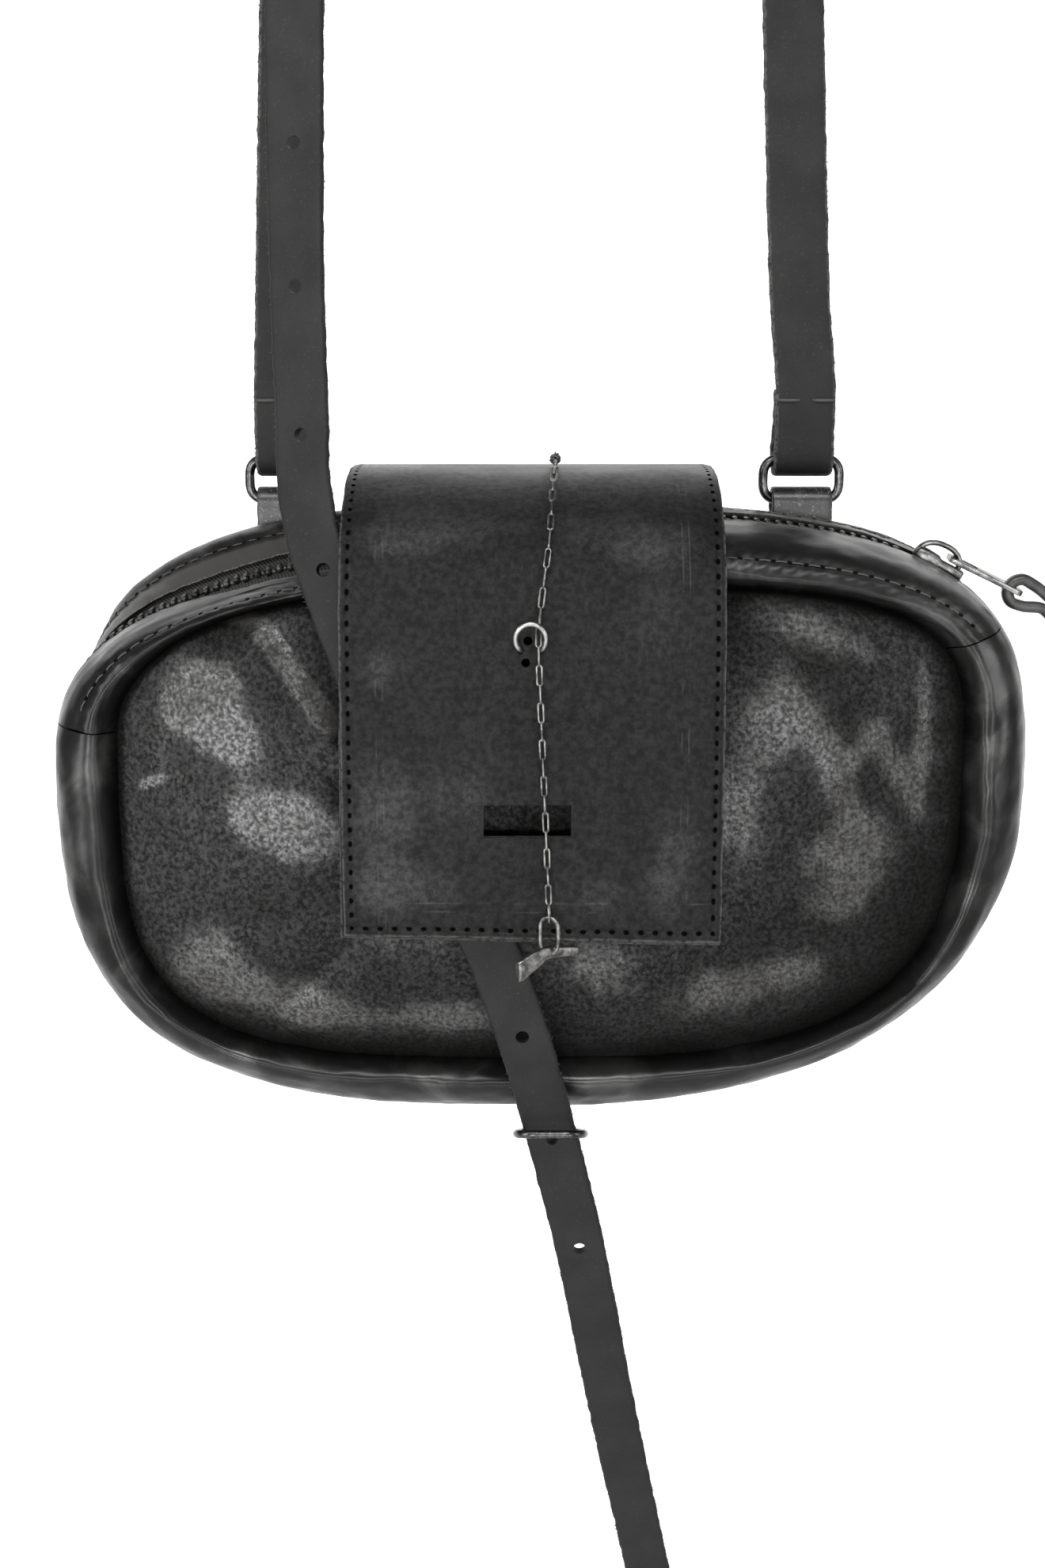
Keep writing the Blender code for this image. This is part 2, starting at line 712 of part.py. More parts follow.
def build_slider(angle):
    """The slider over the teeth with its bridge, and the pull whose end bar lies under the bridge."""
    place, along, across, out = zip_frame(angle)
    floor = place + out * JOIN_GAP
    sunk = WALL + 3 * JOIN_GAP
    middle = floor + out * ((SLIDER_HEIGHT - sunk) / 2)
    sections = []
    for share, width in ((-0.5, 0.55), (-0.36, 0.92), (0.10, 1.0), (0.36, 0.80), (0.5, 0.5)):
        centre = middle + along * (SLIDER_LENGTH * share)
        sections.append(rectangle(centre, across, out, SLIDER_WIDTH * width / 2, (SLIDER_HEIGHT + sunk) / 2))
    slider = loft("zip_slider", sections, "dark_metal")
    foot = SLIDER_LENGTH * 0.36
    bridge_top = SLIDER_HEIGHT + PULL_WALL + PULL_WIRE + 4 * JOIN_GAP
    arch = []
    for share, height in ((-1.0, 0.35), (-0.92, 0.75), (-0.6, 1.0), (0.6, 1.0), (0.92, 0.75), (1.0, 0.35)):
        arch.append(floor + along * (foot * share) + out * (bridge_top * height))
    union(slider, wire("slider_bridge", arch, PULL_WIRE, "dark_metal", closed=False))
    hinge = floor + along * (foot * 0.45) + out * (SLIDER_HEIGHT + PULL_WALL / 2 + 2 * JOIN_GAP)
    build_pull(hinge, math.atan2(along.z, along.x) + math.radians(PULL_LIFT))


def build_pull(hinge, lean):
    """The pull, with a window that the bridge stands in and a slot for the thong."""
    down = Vector((math.cos(lean), 0, math.sin(lean)))
    side = Vector((0, 1, 0))
    up = down.cross(side)
    bar = PULL_WIRE / 2
    half = PULL_WIDTH / 2
    sections = []
    for share, width in ((0.0, 0.84), (0.10, 1.0), (0.55, 0.92), (0.88, 1.0), (1.0, 0.7)):
        centre = down * (PULL_LENGTH * share - bar)
        sections.append(rectangle(centre, side, up, half * width, PULL_WALL / 2))
    pull = loft("zip_pull", sections, "dark_metal", hinge)
    window = []
    for distance in (bar, bar + PULL_WINDOW):
        window.append(rectangle(down * distance, side, up, half - PULL_WIRE, PULL_WALL))
    cut(pull, loft("pull_window", window, None, hinge, cutter=True))
    eye = PULL_LENGTH - bar - PULL_WIRE - THONG_WALL - 4 * JOIN_GAP
    slot = []
    for distance in (eye - 2 * JOIN_GAP, eye + THONG_WALL + 2 * JOIN_GAP):
        slot.append(rectangle(down * distance, side, up, THONG_WIDTH / 2 + JOIN_GAP, PULL_WALL))
    cut(pull, loft("thong_slot", slot, None, hinge, cutter=True))
    build_thong(hinge, down, side, up, eye + THONG_WALL / 2)


def build_thong(hinge, down, side, up, eye):
    """The leather thong: through the pull's slot, its two ends lying together."""
    gap = PULL_WALL / 2 + JOIN_GAP + THONG_WALL / 2
    near = (THONG_WALL + JOIN_GAP) / 2
    route = [
        (eye + THONG_LENGTH, near - 0.0040), (eye + THONG_LENGTH * 0.62, near - 0.0012),
        (eye + THONG_LENGTH * 0.42, near + 0.0008), (eye + THONG_LENGTH * 0.2, gap + 0.0014),
        (eye + THONG_LENGTH * 0.08, gap + 0.0014), (eye, 0.0016), (eye, -0.0016),
        (eye + THONG_LENGTH * 0.08, -gap - 0.0014), (eye + THONG_LENGTH * 0.2, -gap - 0.0012),
        (eye + THONG_LENGTH * 0.42, -near + 0.0002), (eye + THONG_LENGTH * 0.62, -near - 0.0016),
        (eye + THONG_LENGTH * 0.93, -near - 0.0044),
    ]
    centres = [down * a + up * b for a, b in route]
    ribbon("pull_thong", centres, [side] * len(centres), THONG_WIDTH, THONG_WALL, "strap_leather", hinge)


def ribbon(name, centres, acrosses, widths, wall, look, location=(0, 0, 0)):
    """A strip of leather along its centre line, with the way its width points at each station."""
    if not isinstance(widths, (list, tuple)):
        widths = [widths] * len(centres)
    sections = []
    for i, centre in enumerate(centres):
        ahead = centres[min(i + 1, len(centres) - 1)] - centres[max(i - 1, 0)]
        ahead.normalize()
        across = (acrosses[i] - ahead * acrosses[i].dot(ahead)).normalized()
        out = ahead.cross(across)
        sections.append(rectangle(centre, across, out, widths[i] / 2, wall / 2))
    return loft(name, sections, look, location)


def flap_line():
    """The flap's path in its side view, as even points of (y, z) from the sewn end to the free edge."""
    rows = []
    for _, y, z in FLAP_PATH:
        rows.append((y * (FLAP_BACK if y > 0 else FLAP_FRONT), z * BAG_RISE))
    return even_path(rows, 0.0045)


FLAP_LINE, FLAP_LENGTH = flap_line()


def flap_frame(distance):
    """The flap's inner face at a distance above its free edge: place, down along it, and out of it."""
    at = clamp(1 - distance / FLAP_LENGTH) * (len(FLAP_LINE) - 1)
    i = min(int(at), len(FLAP_LINE) - 2)
    share = at - i
    y, z = (a + (b - a) * share for a, b in zip(FLAP_LINE[i], FLAP_LINE[i + 1]))
    before = Vector(spline(FLAP_LINE, at - 0.6))
    after = Vector(spline(FLAP_LINE, at + 0.6))
    down = (after - before).normalized()
    return Vector((0, y, z)), Vector((0, down.x, down.y)), Vector((0, down.y, -down.x))


def flap_point(distance, x, lift):
    place, _, out = flap_frame(distance)
    return place + out * lift + Vector((x, 0, 0))


def flap_distance(z):
    """How far above the free edge the front of the flap reaches a height."""
    distance = 0.0
    while flap_frame(distance)[0].z < z and distance < FLAP_LENGTH:
        distance += 0.0002
    return distance


def flap_layer(name, lift, peek):
    """One layer of the flap, its outer face at a lift, peeking out from under the other at its lower left."""
    rows = 23
    columns = 4
    points = []
    for i in range(rows):
        for j in range(columns):
            share = j / (columns - 1)
            x = FLAP_CENTRE + FLAP_WIDTH * (share - 0.5)
            if j == 0:
                x -= peek * (i / (rows - 1)) ** 3
            points.append(flap_point(FLAP_LENGTH * (1 - i / (rows - 1)), x, lift))
            if i == rows - 1:
                points[-1].z -= peek + FLAP_SKEW * share
    faces = []
    for i in range(rows - 1):
        for j in range(columns - 1):
            a = i * columns + j
            faces.append((a, a + columns, a + columns + 1, a + 1))
    piece = add_piece(name, mesh_of(name, points, faces), "flap_leather")
    solidify(piece, FLAP_WALL)
    return piece


def build_flap():
    """The two layers of the flap, cut through by the slot, the ring's holes and the punched holes."""
    lining = flap_layer("flap_lining", FLAP_WALL, LINING_PEEK)
    outer = flap_layer("flap_outer", FLAP_LAYERS, 0.0)
    front = -FLAP_FRONT
    slot = block("slot_cut",
                 (SLOT_CENTRE - SLOT_WIDTH / 2, front - 4 * FLAP_LAYERS, SLOT_DROP - SLOT_HEIGHT / 2),
                 (SLOT_CENTRE + SLOT_WIDTH / 2, front + 2 * FLAP_LAYERS, SLOT_DROP + SLOT_HEIGHT / 2))
    ring_at = flap_distance(FLAP_RING_Z)
    place, down, out = flap_frame(ring_at)
    reach = (FLAP_RING_SPAN - FLAP_RING_WIRE) / 2
    cutters = [slot]
    for name, side in (("left", -1), ("right", 1)):
        spot = place + down * (reach * 0.75) + Vector((FLAP_RING_X + side * reach * 0.66, 0, 0))
        cutters.append(drill("ring_hole_" + name, spot, out, FLAP_RING_WIRE + 4 * JOIN_GAP, 4 * FLAP_LAYERS))
    for name, x, drop in (("upper", -0.0008, 0.12), ("lower", -0.0014, 1.55)):
        spot = place + down * (reach * drop) + Vector((FLAP_RING_X + x, 0, 0))
        cutters.append(drill("punch_" + name, spot, out, PUNCH_DIAMETER, 4 * FLAP_LAYERS))
    for cutter in cutters:
        cut(lining, cutter)
        cut(outer, cutter)
    build_flap_ring(place, down, out, reach)


def build_flap_ring(place, down, out, reach):
    """The ring on the flap: a round arc that stands off it, and a foot that goes through two holes."""
    points = []
    steps = 14
    for i in range(steps + 1):
        turn = math.radians(-128 + 256 * i / steps)
        height = math.cos(turn)
        lift = FLAP_LAYERS + FLAP_RING_STANDOFF * math.sqrt(max(height + 0.75, 0.02) / 1.75)
        points.append(place - down * (reach * height) + out * lift
                      + Vector((FLAP_RING_X + reach * math.sin(turn), 0, 0)))
    behind = -FLAP_RING_WIRE / 2 - JOIN_GAP
    for side in (1, -1):
        legs = [FLAP_LAYERS * 0.9, behind]
        for lift in (legs if side > 0 else reversed(legs)):
            points.append(place + down * (reach * 0.75) + out * lift
                          + Vector((FLAP_RING_X + side * reach * 0.66, 0, 0)))
    wire("flap_ring", points, FLAP_RING_WIRE, "grey_metal")


def link_points(centre, ahead, side, length, width, diameter):
    """A link's centre line: two half rounds joined by straight sides."""
    radius = (width - diameter) / 2
    straight = (length - diameter) / 2 - radius
    points = []
    for end in (1, -1):
        for i in range(5):
            turn = math.radians(-90 + 45 * i)
            a = end * (straight + radius * math.cos(turn))
            b = end * radius * math.sin(turn)
            points.append(centre + ahead * a + side * b)
    return points


def build_chain():
    """The chain down the flap as one fused body, the knot that holds it, and its large end link."""
    pitch = LINK_LENGTH - 2 * LINK_WIRE + LINK_BITE
    points, length = even_path([row[1:] for row in CHAIN_ROUTE], pitch)
    count = len(points)
    centres = [flap_point(up, x, FLAP_LAYERS + lift) for x, up, lift in points]
    wide = END_LINK_WIRE + 2 * LINK_WIRE + 4 * JOIN_GAP
    profile = wire_profile(LINK_WIRE, LINK_WIRE_SIDES)
    strands = {0: [], 1: []}
    for i, centre in enumerate(centres):
        ahead = (centres[min(i + 1, count - 1)] - centres[max(i - 1, 0)]).normalized()
        out = flap_frame(points[i][1])[2]
        out = (out - ahead * out.dot(ahead)).normalized()
        edge_on = (count - 1 - i) % 2 == 0
        side = out if edge_on else ahead.cross(out)
        width = wide if i == count - 1 else LINK_WIDTH
        line = link_points(centre, ahead, side, LINK_LENGTH, width, LINK_WIRE)
        strands[i % 2].append(wire(f"link_{i}", line, LINK_WIRE, "grey_metal", profile=profile))
    chain = joined("chain", strands[0], "grey_metal")
    union(chain, joined("chain_other_links", strands[1], "grey_metal"))
    build_knot(centres[0], points[0][1])
    reach = (LINK_LENGTH - LINK_WIRE) / 2 - (LINK_WIRE + END_LINK_WIRE) / 2 - 2 * JOIN_GAP
    build_end_link(centres[-1] + (centres[-1] - centres[-2]).normalized() * reach)


def joined(name, pieces, look):
    """Several loose pieces as one object."""
    work = bmesh.new()
    for piece in pieces:
        work.from_mesh(piece.data)
        bpy.data.objects.remove(piece, do_unlink=True)
    mesh = bpy.data.meshes.new(name)
    work.to_mesh(mesh)
    work.free()
    return add_piece(name, mesh, look)


def build_knot(first, distance):
    """The small knot of thread that ties the chain to the flap's top."""
    _, down, out = flap_frame(distance)
    radius = KNOT_WIDTH / 2
    work = bmesh.new()
    bmesh.ops.create_uvsphere(work, u_segments=10, v_segments=6, radius=radius)
    mesh = bpy.data.meshes.new("chain_knot")
    work.to_mesh(mesh)
    work.free()
    centre = first - down * (LINK_LENGTH / 2 + radius + JOIN_GAP)
    lift = (centre - flap_frame(distance + LINK_LENGTH / 2 + radius)[0]).dot(out)
    centre += out * (FLAP_LAYERS + 2 * JOIN_GAP + radius - lift)
    add_piece("chain_knot", mesh, "strap_leather", centre)


def build_end_link(top):
    """The oval link that carries the toggle, with its right leg forward, and the toggle drilled for it."""
    turn = math.radians(END_LINK_TURN)
    side = Vector((math.cos(turn), -math.sin(turn), 0))
    hang = Vector((0, 0, -1))
    centre = top + hang * ((END_LINK_LENGTH - END_LINK_WIRE) / 2)
    line = link_points(centre, hang, side, END_LINK_LENGTH, END_LINK_WIDTH, END_LINK_WIRE)
    wire("chain_end_link", line, END_LINK_WIRE, "grey_metal")
    along = Vector((math.cos(turn), math.sin(turn), 0))
    across = Vector((-math.sin(turn), math.cos(turn), 0))
    seat = centre + hang * ((END_LINK_LENGTH - END_LINK_WIRE) / 2 - JOIN_GAP)
    sections = []
    for share, drop, height, thickness in TOGGLE:
        spot = seat + along * (share * TOGGLE_LENGTH) + hang * (drop * TOGGLE_BROAD)
        tall = TOGGLE_NECK + (TOGGLE_BROAD - TOGGLE_NECK) * height
        sections.append(eight_sided(spot, across, -hang, TOGGLE_THICKNESS * thickness / 2, tall / 2))
    bar = loft("toggle_bar", sections, "grey_metal")
    cut(bar, drill("toggle_hole", seat, side, END_LINK_WIRE + 5 * JOIN_GAP, 3 * TOGGLE_THICKNESS))


def eight_sided(centre, across, up, half_width, half_height):
    """A section with cut corners."""
    corners = ((-1, -0.5), (-0.5, -1), (0.5, -1), (1, -0.5), (1, 0.5), (0.5, 1), (-0.5, 1), (-1, 0.5))
    return [centre + across * (half_width * a) + up * (half_height * b) for a, b in corners]


def facing(turn):
    """The way a strap's width points, from its turn in degrees."""
    return Vector((math.cos(math.radians(turn)), math.sin(math.radians(turn)), 0))


def fold(x, y, z, radius, start, end, steps=6):
    """Stations of a strap round a bar that lies along X, between two angles in its side view."""
    found = []
    for i in range(steps + 1):
        turn = math.radians(start + (end - start) * i / steps)
        found.append((x, y + radius * math.cos(turn), z + radius * math.sin(turn), 0))
    return found


def ring_fold_radius(wall):
    """The radius of a strap's middle round a bar of a strap ring, clear of the bar's bent ends."""
    return RING_WIRE / 2 + JOIN_GAP + wall / 2 + RING_CORNER * RING_HEIGHT


def bar_height(side):
    """The height of a strap ring's top or bottom bar."""
    return RING_Z + side * (RING_HEIGHT - RING_WIRE) / 2


def folded_end(x):
    """A strap's end: its short ply behind, down to the ring's top bar and round under it."""
    radius = ring_fold_radius(STRAP_WALL)
    bar = bar_height(1)
    front = RING_Y - radius
    close = front + STRAP_WALL + 2 * JOIN_GAP
    rows = [(x, close, bar + STRAP_FOLD_LENGTH, 0), (x, close, bar + 0.75 * STRAP_FOLD_LENGTH, 0),
            (x, RING_Y + 0.45 * radius, bar + 0.40 * STRAP_FOLD_LENGTH, 0)]
    rows += fold(x, RING_Y, bar, radius, 0, -180)
    rows.append((x, front, bar + 0.40 * STRAP_FOLD_LENGTH, 0))
    rows.append((x, front, bar + 0.80 * STRAP_FOLD_LENGTH, 0))
    return rows


def strap_stations():
    """The shoulder strap's whole route as even rows of x, y, z and turn, after its folded end."""
    rows = [(RIGHT_RING_X, RING_Y - ring_fold_radius(STRAP_WALL), bar_height(1) + STRAP_FOLD_LENGTH, 0)]
    for _, x, y, z, turn in OVER_ROUTE:
        rows.append((x * HALF_WIDTH, y * HALF_DEPTH, z * (STRAP_RISE + STRAP_WALL / 2), turn))
    under_flap = FRONT_FACE + STRAP_WALL / 2 + STRAP_FLOAT
    for _, x, y, z, turn in FRONT_ROUTE:
        rows.append((x * HALF_WIDTH, -y * under_flap, z * BAG_DROP, turn))
    ring = bottom_ring_centre()
    rows.append((ring.x, ring.y - 0.14 * BOTTOM_RING_REACH, ring.z + 0.0020, 180))
    for _, x, y, z, turn in TAIL_ROUTE:
        rows.append((x * HALF_WIDTH, y * HALF_DEPTH, z * TAIL_DROP, turn))
    return even_path(rows, 0.0170)


def build_straps():
    """The shoulder strap with its punched tail, the short left strap and the plain buckle."""
    stations, length = strap_stations()
    ending = folded_end(RIGHT_RING_X)
    rows = ending + stations[2:]
    centres = [Vector(row[:3]) for row in rows]
    acrosses = [facing(row[3]) for row in rows]
    distances = [0.0]
    for a, b in zip(centres, centres[1:]):
        distances.append(distances[-1] + (b - a).length)
    taper = (STRAP_TIP_WIDTH - STRAP_WIDTH) / distances[-1]
    widths = [STRAP_WIDTH + taper * distance for distance in distances]
    strap = ribbon("shoulder_strap", centres, acrosses, widths, STRAP_WALL, "strap_leather")
    for n, pitches in enumerate(HOLES):
        from_tip = pitches * HOLE_PITCH
        k = next(i for i, distance in enumerate(distances) if distances[-1] - distance < from_tip)
        share = (distances[-1] - from_tip - distances[k - 1]) / (distances[k] - distances[k - 1])
        spot = centres[k - 1].lerp(centres[k], share)
        out = (centres[k] - centres[k - 1]).normalized().cross(acrosses[k])
        cut(strap, drill(f"strap_hole_{n}", spot, out, HOLE_DIAMETER, 3 * STRAP_WALL, 8))
    build_left_strap()


def buckle_place():
    """The middle of the buckle, on the strap where it passes through."""
    _, x, y, z, _ = next(row for row in OVER_ROUTE if row[0] == "in_buckle")
    return Vector((x * HALF_WIDTH, y * HALF_DEPTH, z * STRAP_RISE))


def build_left_strap():
    """The short strap between the left ring and the buckle, folded at both ends, and the buckle."""
    buckle = buckle_place()
    bar = buckle.z - (BUCKLE_HEIGHT - BUCKLE_WIRE) / 2
    radius = BUCKLE_WIRE / 2 + 4 * JOIN_GAP + STRAP_WALL / 2
    rows = folded_end(LEFT_RING_X)
    low = rows[-1]
    back = buckle.y + radius
    climb = [(low[0], low[1], low[2], 0)]
    for share, lag in ((0.25, 0.30), (0.55, 0.66), (0.85, 0.95)):
        climb.append((low[0] + (buckle.x - low[0]) * share, low[1] + (back - low[1]) * lag,
                      low[2] + (bar - low[2]) * share, 0))
    climb.append((buckle.x, back, bar - 0.004, 0))
    rows += even_path(climb, 0.014)[0][1:]
    rows += fold(buckle.x, buckle.y, bar, radius, 0, 180)
    close = back - STRAP_WALL - 2 * JOIN_GAP
    rows.append((buckle.x, buckle.y - 0.4 * radius, bar - 0.35 * STRAP_FOLD_LENGTH, 0))
    rows.append((buckle.x, close - 0.0004, bar - 0.70 * STRAP_FOLD_LENGTH, 0))
    rows.append((buckle.x, close + 0.0010, bar - 0.95 * STRAP_FOLD_LENGTH, 0))
    centres = [Vector(row[:3]) for row in rows]
    ribbon("left_strap", centres, [facing(0)] * len(rows), STRAP_WIDTH, STRAP_WALL, "strap_leather")
    loop = rounded_loop((BUCKLE_WIDTH - BUCKLE_WIRE) / 2, (BUCKLE_HEIGHT - BUCKLE_WIRE) / 2, 16, 7.0)
    wire("buckle", [buckle + Vector((x, 0, z)) for x, z in loop], BUCKLE_WIRE, "dark_metal")


def build_rings():
    """The two strap rings with their tabs, and the ring under the bag with its tab."""
    for side, x in (("right", RIGHT_RING_X), ("left", LEFT_RING_X)):
        loop = rounded_loop((RING_WIDTH - RING_WIRE) / 2, (RING_HEIGHT - RING_WIRE) / 2, 20, 3.4)
        middle = Vector((x, RING_Y, RING_Z))
        wire(side + "_d_ring", [middle + Vector((a, 0, b)) for a, b in loop], RING_WIRE, "dark_metal")
        bar = bar_height(-1)
        radius = ring_fold_radius(TAB_WALL)
        inner = RING_Y - radius
        outer = inner + TAB_WALL + JOIN_GAP
        rows = [(x, inner + PANEL_SWELL, bar - TAB_LENGTH, 0), (x, inner, bar - 0.45 * TAB_LENGTH, 0)]
        rows += fold(x, RING_Y, bar, radius, 190, -10)
        rows += [(x, outer + 0.0010, bar - 0.40 * TAB_LENGTH, 0), (x, outer, bar - 0.62 * TAB_LENGTH, 0),
                 (x, outer + PANEL_SWELL, bar - TAB_LENGTH, 0)]
        centres = [Vector(row[:3]) for row in rows]
        ribbon(side + "_ring_tab", centres, [facing(0)] * len(rows), TAB_WIDTH, TAB_WALL, "strap_leather")
    build_bottom_ring()


def bottom_ring_centre():
    """The middle of the ring under the bag."""
    return Vector((BOTTOM_RING_X, -1.045 * HALF_DEPTH, -BAG_DROP - BOTTOM_RING_SINK))


def build_bottom_ring():
    centre = bottom_ring_centre()
    tilt = math.radians(BOTTOM_RING_TILT)
    back = Vector((0, math.cos(tilt), -math.sin(tilt)))
    half = (BOTTOM_RING_REACH - BOTTOM_RING_WIRE) / 2
    loop = rounded_loop((BOTTOM_RING_WIDTH - BOTTOM_RING_WIRE) / 2, half, 18, 3.8)
    points = [centre + Vector((a, 0, 0)) + back * b for a, b in loop]
    wire("bottom_ring", points, BOTTOM_RING_WIRE, "dark_metal")
    bar = centre + back * half
    radius = BOTTOM_RING_WIRE / 2 + 3 * JOIN_GAP + TAB_WALL / 2
    upper = -BAG_DROP - JOIN_GAP - TAB_WALL / 2
    lower = upper - TAB_WALL - JOIN_GAP
    rows = [(bar.x, 0.35 * HALF_DEPTH, upper, 0), (bar.x, -0.30 * HALF_DEPTH, upper, 0)]
    rows += fold(bar.x, bar.y, bar.z, radius, 60, 300)
    rows += [(bar.x, -0.38 * HALF_DEPTH, lower - 0.0010, 0), (bar.x, 0.35 * HALF_DEPTH, lower, 0)]
    centres = [Vector(row[:3]) for row in rows]
    ribbon("bottom_tab", centres, [facing(0)] * len(rows), BOTTOM_TAB_WIDTH, TAB_WALL, "strap_leather")


def hang_up():
    """Lower the bag so that the underside of the strap's top is at the origin."""
    _, x, y, _, _ = next(row for row in OVER_ROUTE if row[0] == "top")
    CENTRE.location = (-x * HALF_WIDTH, -y * HALF_DEPTH, -STRAP_RISE)


build_body()
build_zip()
build_flap()
build_chain()
build_straps()
build_rings()
hang_up()
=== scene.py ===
"""A leather shoulder bag hanging by its strap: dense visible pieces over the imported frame, and the studio."""
import math
import random
from functools import lru_cache, partialmethod

import bpy
import numpy as np
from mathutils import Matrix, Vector, noise


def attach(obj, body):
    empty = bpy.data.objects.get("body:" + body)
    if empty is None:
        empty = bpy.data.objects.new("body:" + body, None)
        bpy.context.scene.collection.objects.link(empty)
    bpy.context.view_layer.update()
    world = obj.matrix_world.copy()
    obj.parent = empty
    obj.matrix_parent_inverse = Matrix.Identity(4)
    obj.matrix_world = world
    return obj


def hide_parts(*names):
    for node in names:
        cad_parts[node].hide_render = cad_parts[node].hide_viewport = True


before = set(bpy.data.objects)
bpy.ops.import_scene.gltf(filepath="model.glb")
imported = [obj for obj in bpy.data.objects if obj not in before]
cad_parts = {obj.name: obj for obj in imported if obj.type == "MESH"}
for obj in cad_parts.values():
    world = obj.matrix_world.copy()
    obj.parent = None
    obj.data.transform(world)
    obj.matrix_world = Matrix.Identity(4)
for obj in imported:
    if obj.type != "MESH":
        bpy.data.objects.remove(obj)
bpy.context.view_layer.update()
random.seed(7)

# The part's own sizes and tables, in metres, as its source has them
BAG_WIDTH = 0.3092
BAG_RISE = 0.080
BAG_DROP = 0.1135
BAG_DEPTH = 0.066
SIDE_SEAM_INSET = 0.0236
TOP_SEAM_INSET = 0.0225
BACK_TOP_INSET = 0.007
BOTTOM_SEAM_INSET = 0.0205
FRONT_BULGE = 0.019
BACK_BULGE = 0.010
WALL = 0.0018
JOIN_GAP = 0.0003

# Zip
ZIP_GAP = 0.0090
TAPE_LAP = 0.004
TAPE_WALL = 0.0008
TOOTH_PITCH = 0.0032
TOOTH_LENGTH = 0.0046
SLIDER_LENGTH = 0.017
SLIDER_WIDTH = 0.0082
SLIDER_HEIGHT = 0.0022
PULL_LENGTH = 0.026
PULL_WIDTH = 0.0080
PULL_WALL = 0.0014
PULL_WIRE = 0.0016
THONG_WALL = 0.0022
THONG_THICK = 0.0036
THONG_WIDTH = 0.0050
THONG_LENGTH = 0.030
PULL_WINDOW = 0.0080
PULL_LIFT = 3
PULL_ROLL = 8

# Flap
FLAP_WIDTH = 0.112
FLAP_CENTRE = -0.0025
FLAP_WALL = 0.0014
FLAP_STANDOFF = 0.0125
FLAP_SKEW = 0.0024
LINING_PEEK = 0.0012
SLOT_WIDTH = 0.0258
SLOT_HEIGHT = 0.0100
SLOT_CENTRE = -0.0040
SLOT_DROP = -0.0077
PUNCH_DIAMETER = 0.0026

# Flap ring, chain and toggle
FLAP_RING_SPAN = 0.0103
FLAP_RING_WIRE = 0.0015
FLAP_RING_X = -0.0031
FLAP_RING_Z = 0.0455
FLAP_RING_STANDOFF = 0.0042
LINK_LENGTH = 0.0065
LINK_WIDTH = 0.0021
LINK_WIRE = 0.00062
LINK_BITE = 0.00016
KNOT_WIDTH = 0.0034
END_LINK_LENGTH = 0.0123
END_LINK_WIDTH = 0.0074
END_LINK_WIRE = 0.0013
END_LINK_TURN = 32
TOGGLE_LENGTH = 0.0240
TOGGLE_BROAD = 0.0066
TOGGLE_NECK = 0.0037
TOGGLE_THICKNESS = 0.0025

# Straps, rings and tabs
STRAP_RISE = 0.425
STRAP_WIDTH = 0.0200
STRAP_TIP_WIDTH = 0.0156
STRAP_WALL = 0.0030
STRAP_FLOAT = 0.0025
STRAP_FOLD_LENGTH = 0.022
TAIL_DROP = 0.307
HOLE_DIAMETER = 0.0042
HOLE_PITCH = 0.0410
RING_WIDTH = 0.0286
RING_HEIGHT = 0.0180
RING_WIRE = 0.0032
RING_CORNER = 0.085
RIGHT_RING_SHARE = 0.5666
LEFT_RING_SHARE = -0.542
RING_Z = 0.0866
TAB_WIDTH = 0.0200
TAB_WALL = 0.0016
TAB_LENGTH = 0.026
PANEL_SWELL = 0.0017
BOTTOM_RING_WIDTH = 0.0240
BOTTOM_RING_REACH = 0.0290
BOTTOM_RING_WIRE = 0.0026
BOTTOM_RING_X = 0.0035
BOTTOM_RING_TILT = 21
BOTTOM_RING_SINK = 0.0030
BOTTOM_TAB_WIDTH = 0.0100
BUCKLE_WIDTH = 0.0290
BUCKLE_HEIGHT = 0.0230
BUCKLE_WIRE = 0.0030

# Worked out from the sizes above
HALF_WIDTH = BAG_WIDTH / 2
RIGHT_RING_X = RIGHT_RING_SHARE * HALF_WIDTH
LEFT_RING_X = LEFT_RING_SHARE * HALF_WIDTH
HALF_DEPTH = BAG_DEPTH / 2
SEAM_HALF_WIDTH = HALF_WIDTH - SIDE_SEAM_INSET
SEAM_DROP = BAG_DROP - BOTTOM_SEAM_INSET
FRONT_FACE = 0.85 * HALF_DEPTH + FRONT_BULGE
BACK_FACE = 0.85 * HALF_DEPTH + BACK_BULGE
FLAP_FRONT = FRONT_FACE + FLAP_STANDOFF
FLAP_BACK = BACK_FACE + JOIN_GAP
FLAP_LAYERS = 2 * FLAP_WALL + JOIN_GAP
RING_Y = 0.95 * HALF_DEPTH + 2 * JOIN_GAP + TAB_WALL + RING_WIRE / 2 + RING_CORNER * RING_HEIGHT

# Angles in degrees round the bag from its right side, where the zip strips are sewn to the gusset
RIGHT_CROSS_SEAM = 17.5
SLIDER_ANGLE = 26.0
LEFT_CROSS_SEAM = 174.5

# Outlines round the bag: insets from the outer one, and how square each corner is
OUTLINES = {
    # name: (side inset, top inset, bottom inset, top right, top left, bottom left, bottom right)
    "outer": (0.0, 0.0, 0.0, 3.2, 2.72, 2.95, 2.30),
    "front": (SIDE_SEAM_INSET, TOP_SEAM_INSET, BOTTOM_SEAM_INSET, 4.0, 2.8, 3.8, 3.0),
    "back": (SIDE_SEAM_INSET, BACK_TOP_INSET, BOTTOM_SEAM_INSET, 3.2, 2.5, 3.4, 2.8),
}

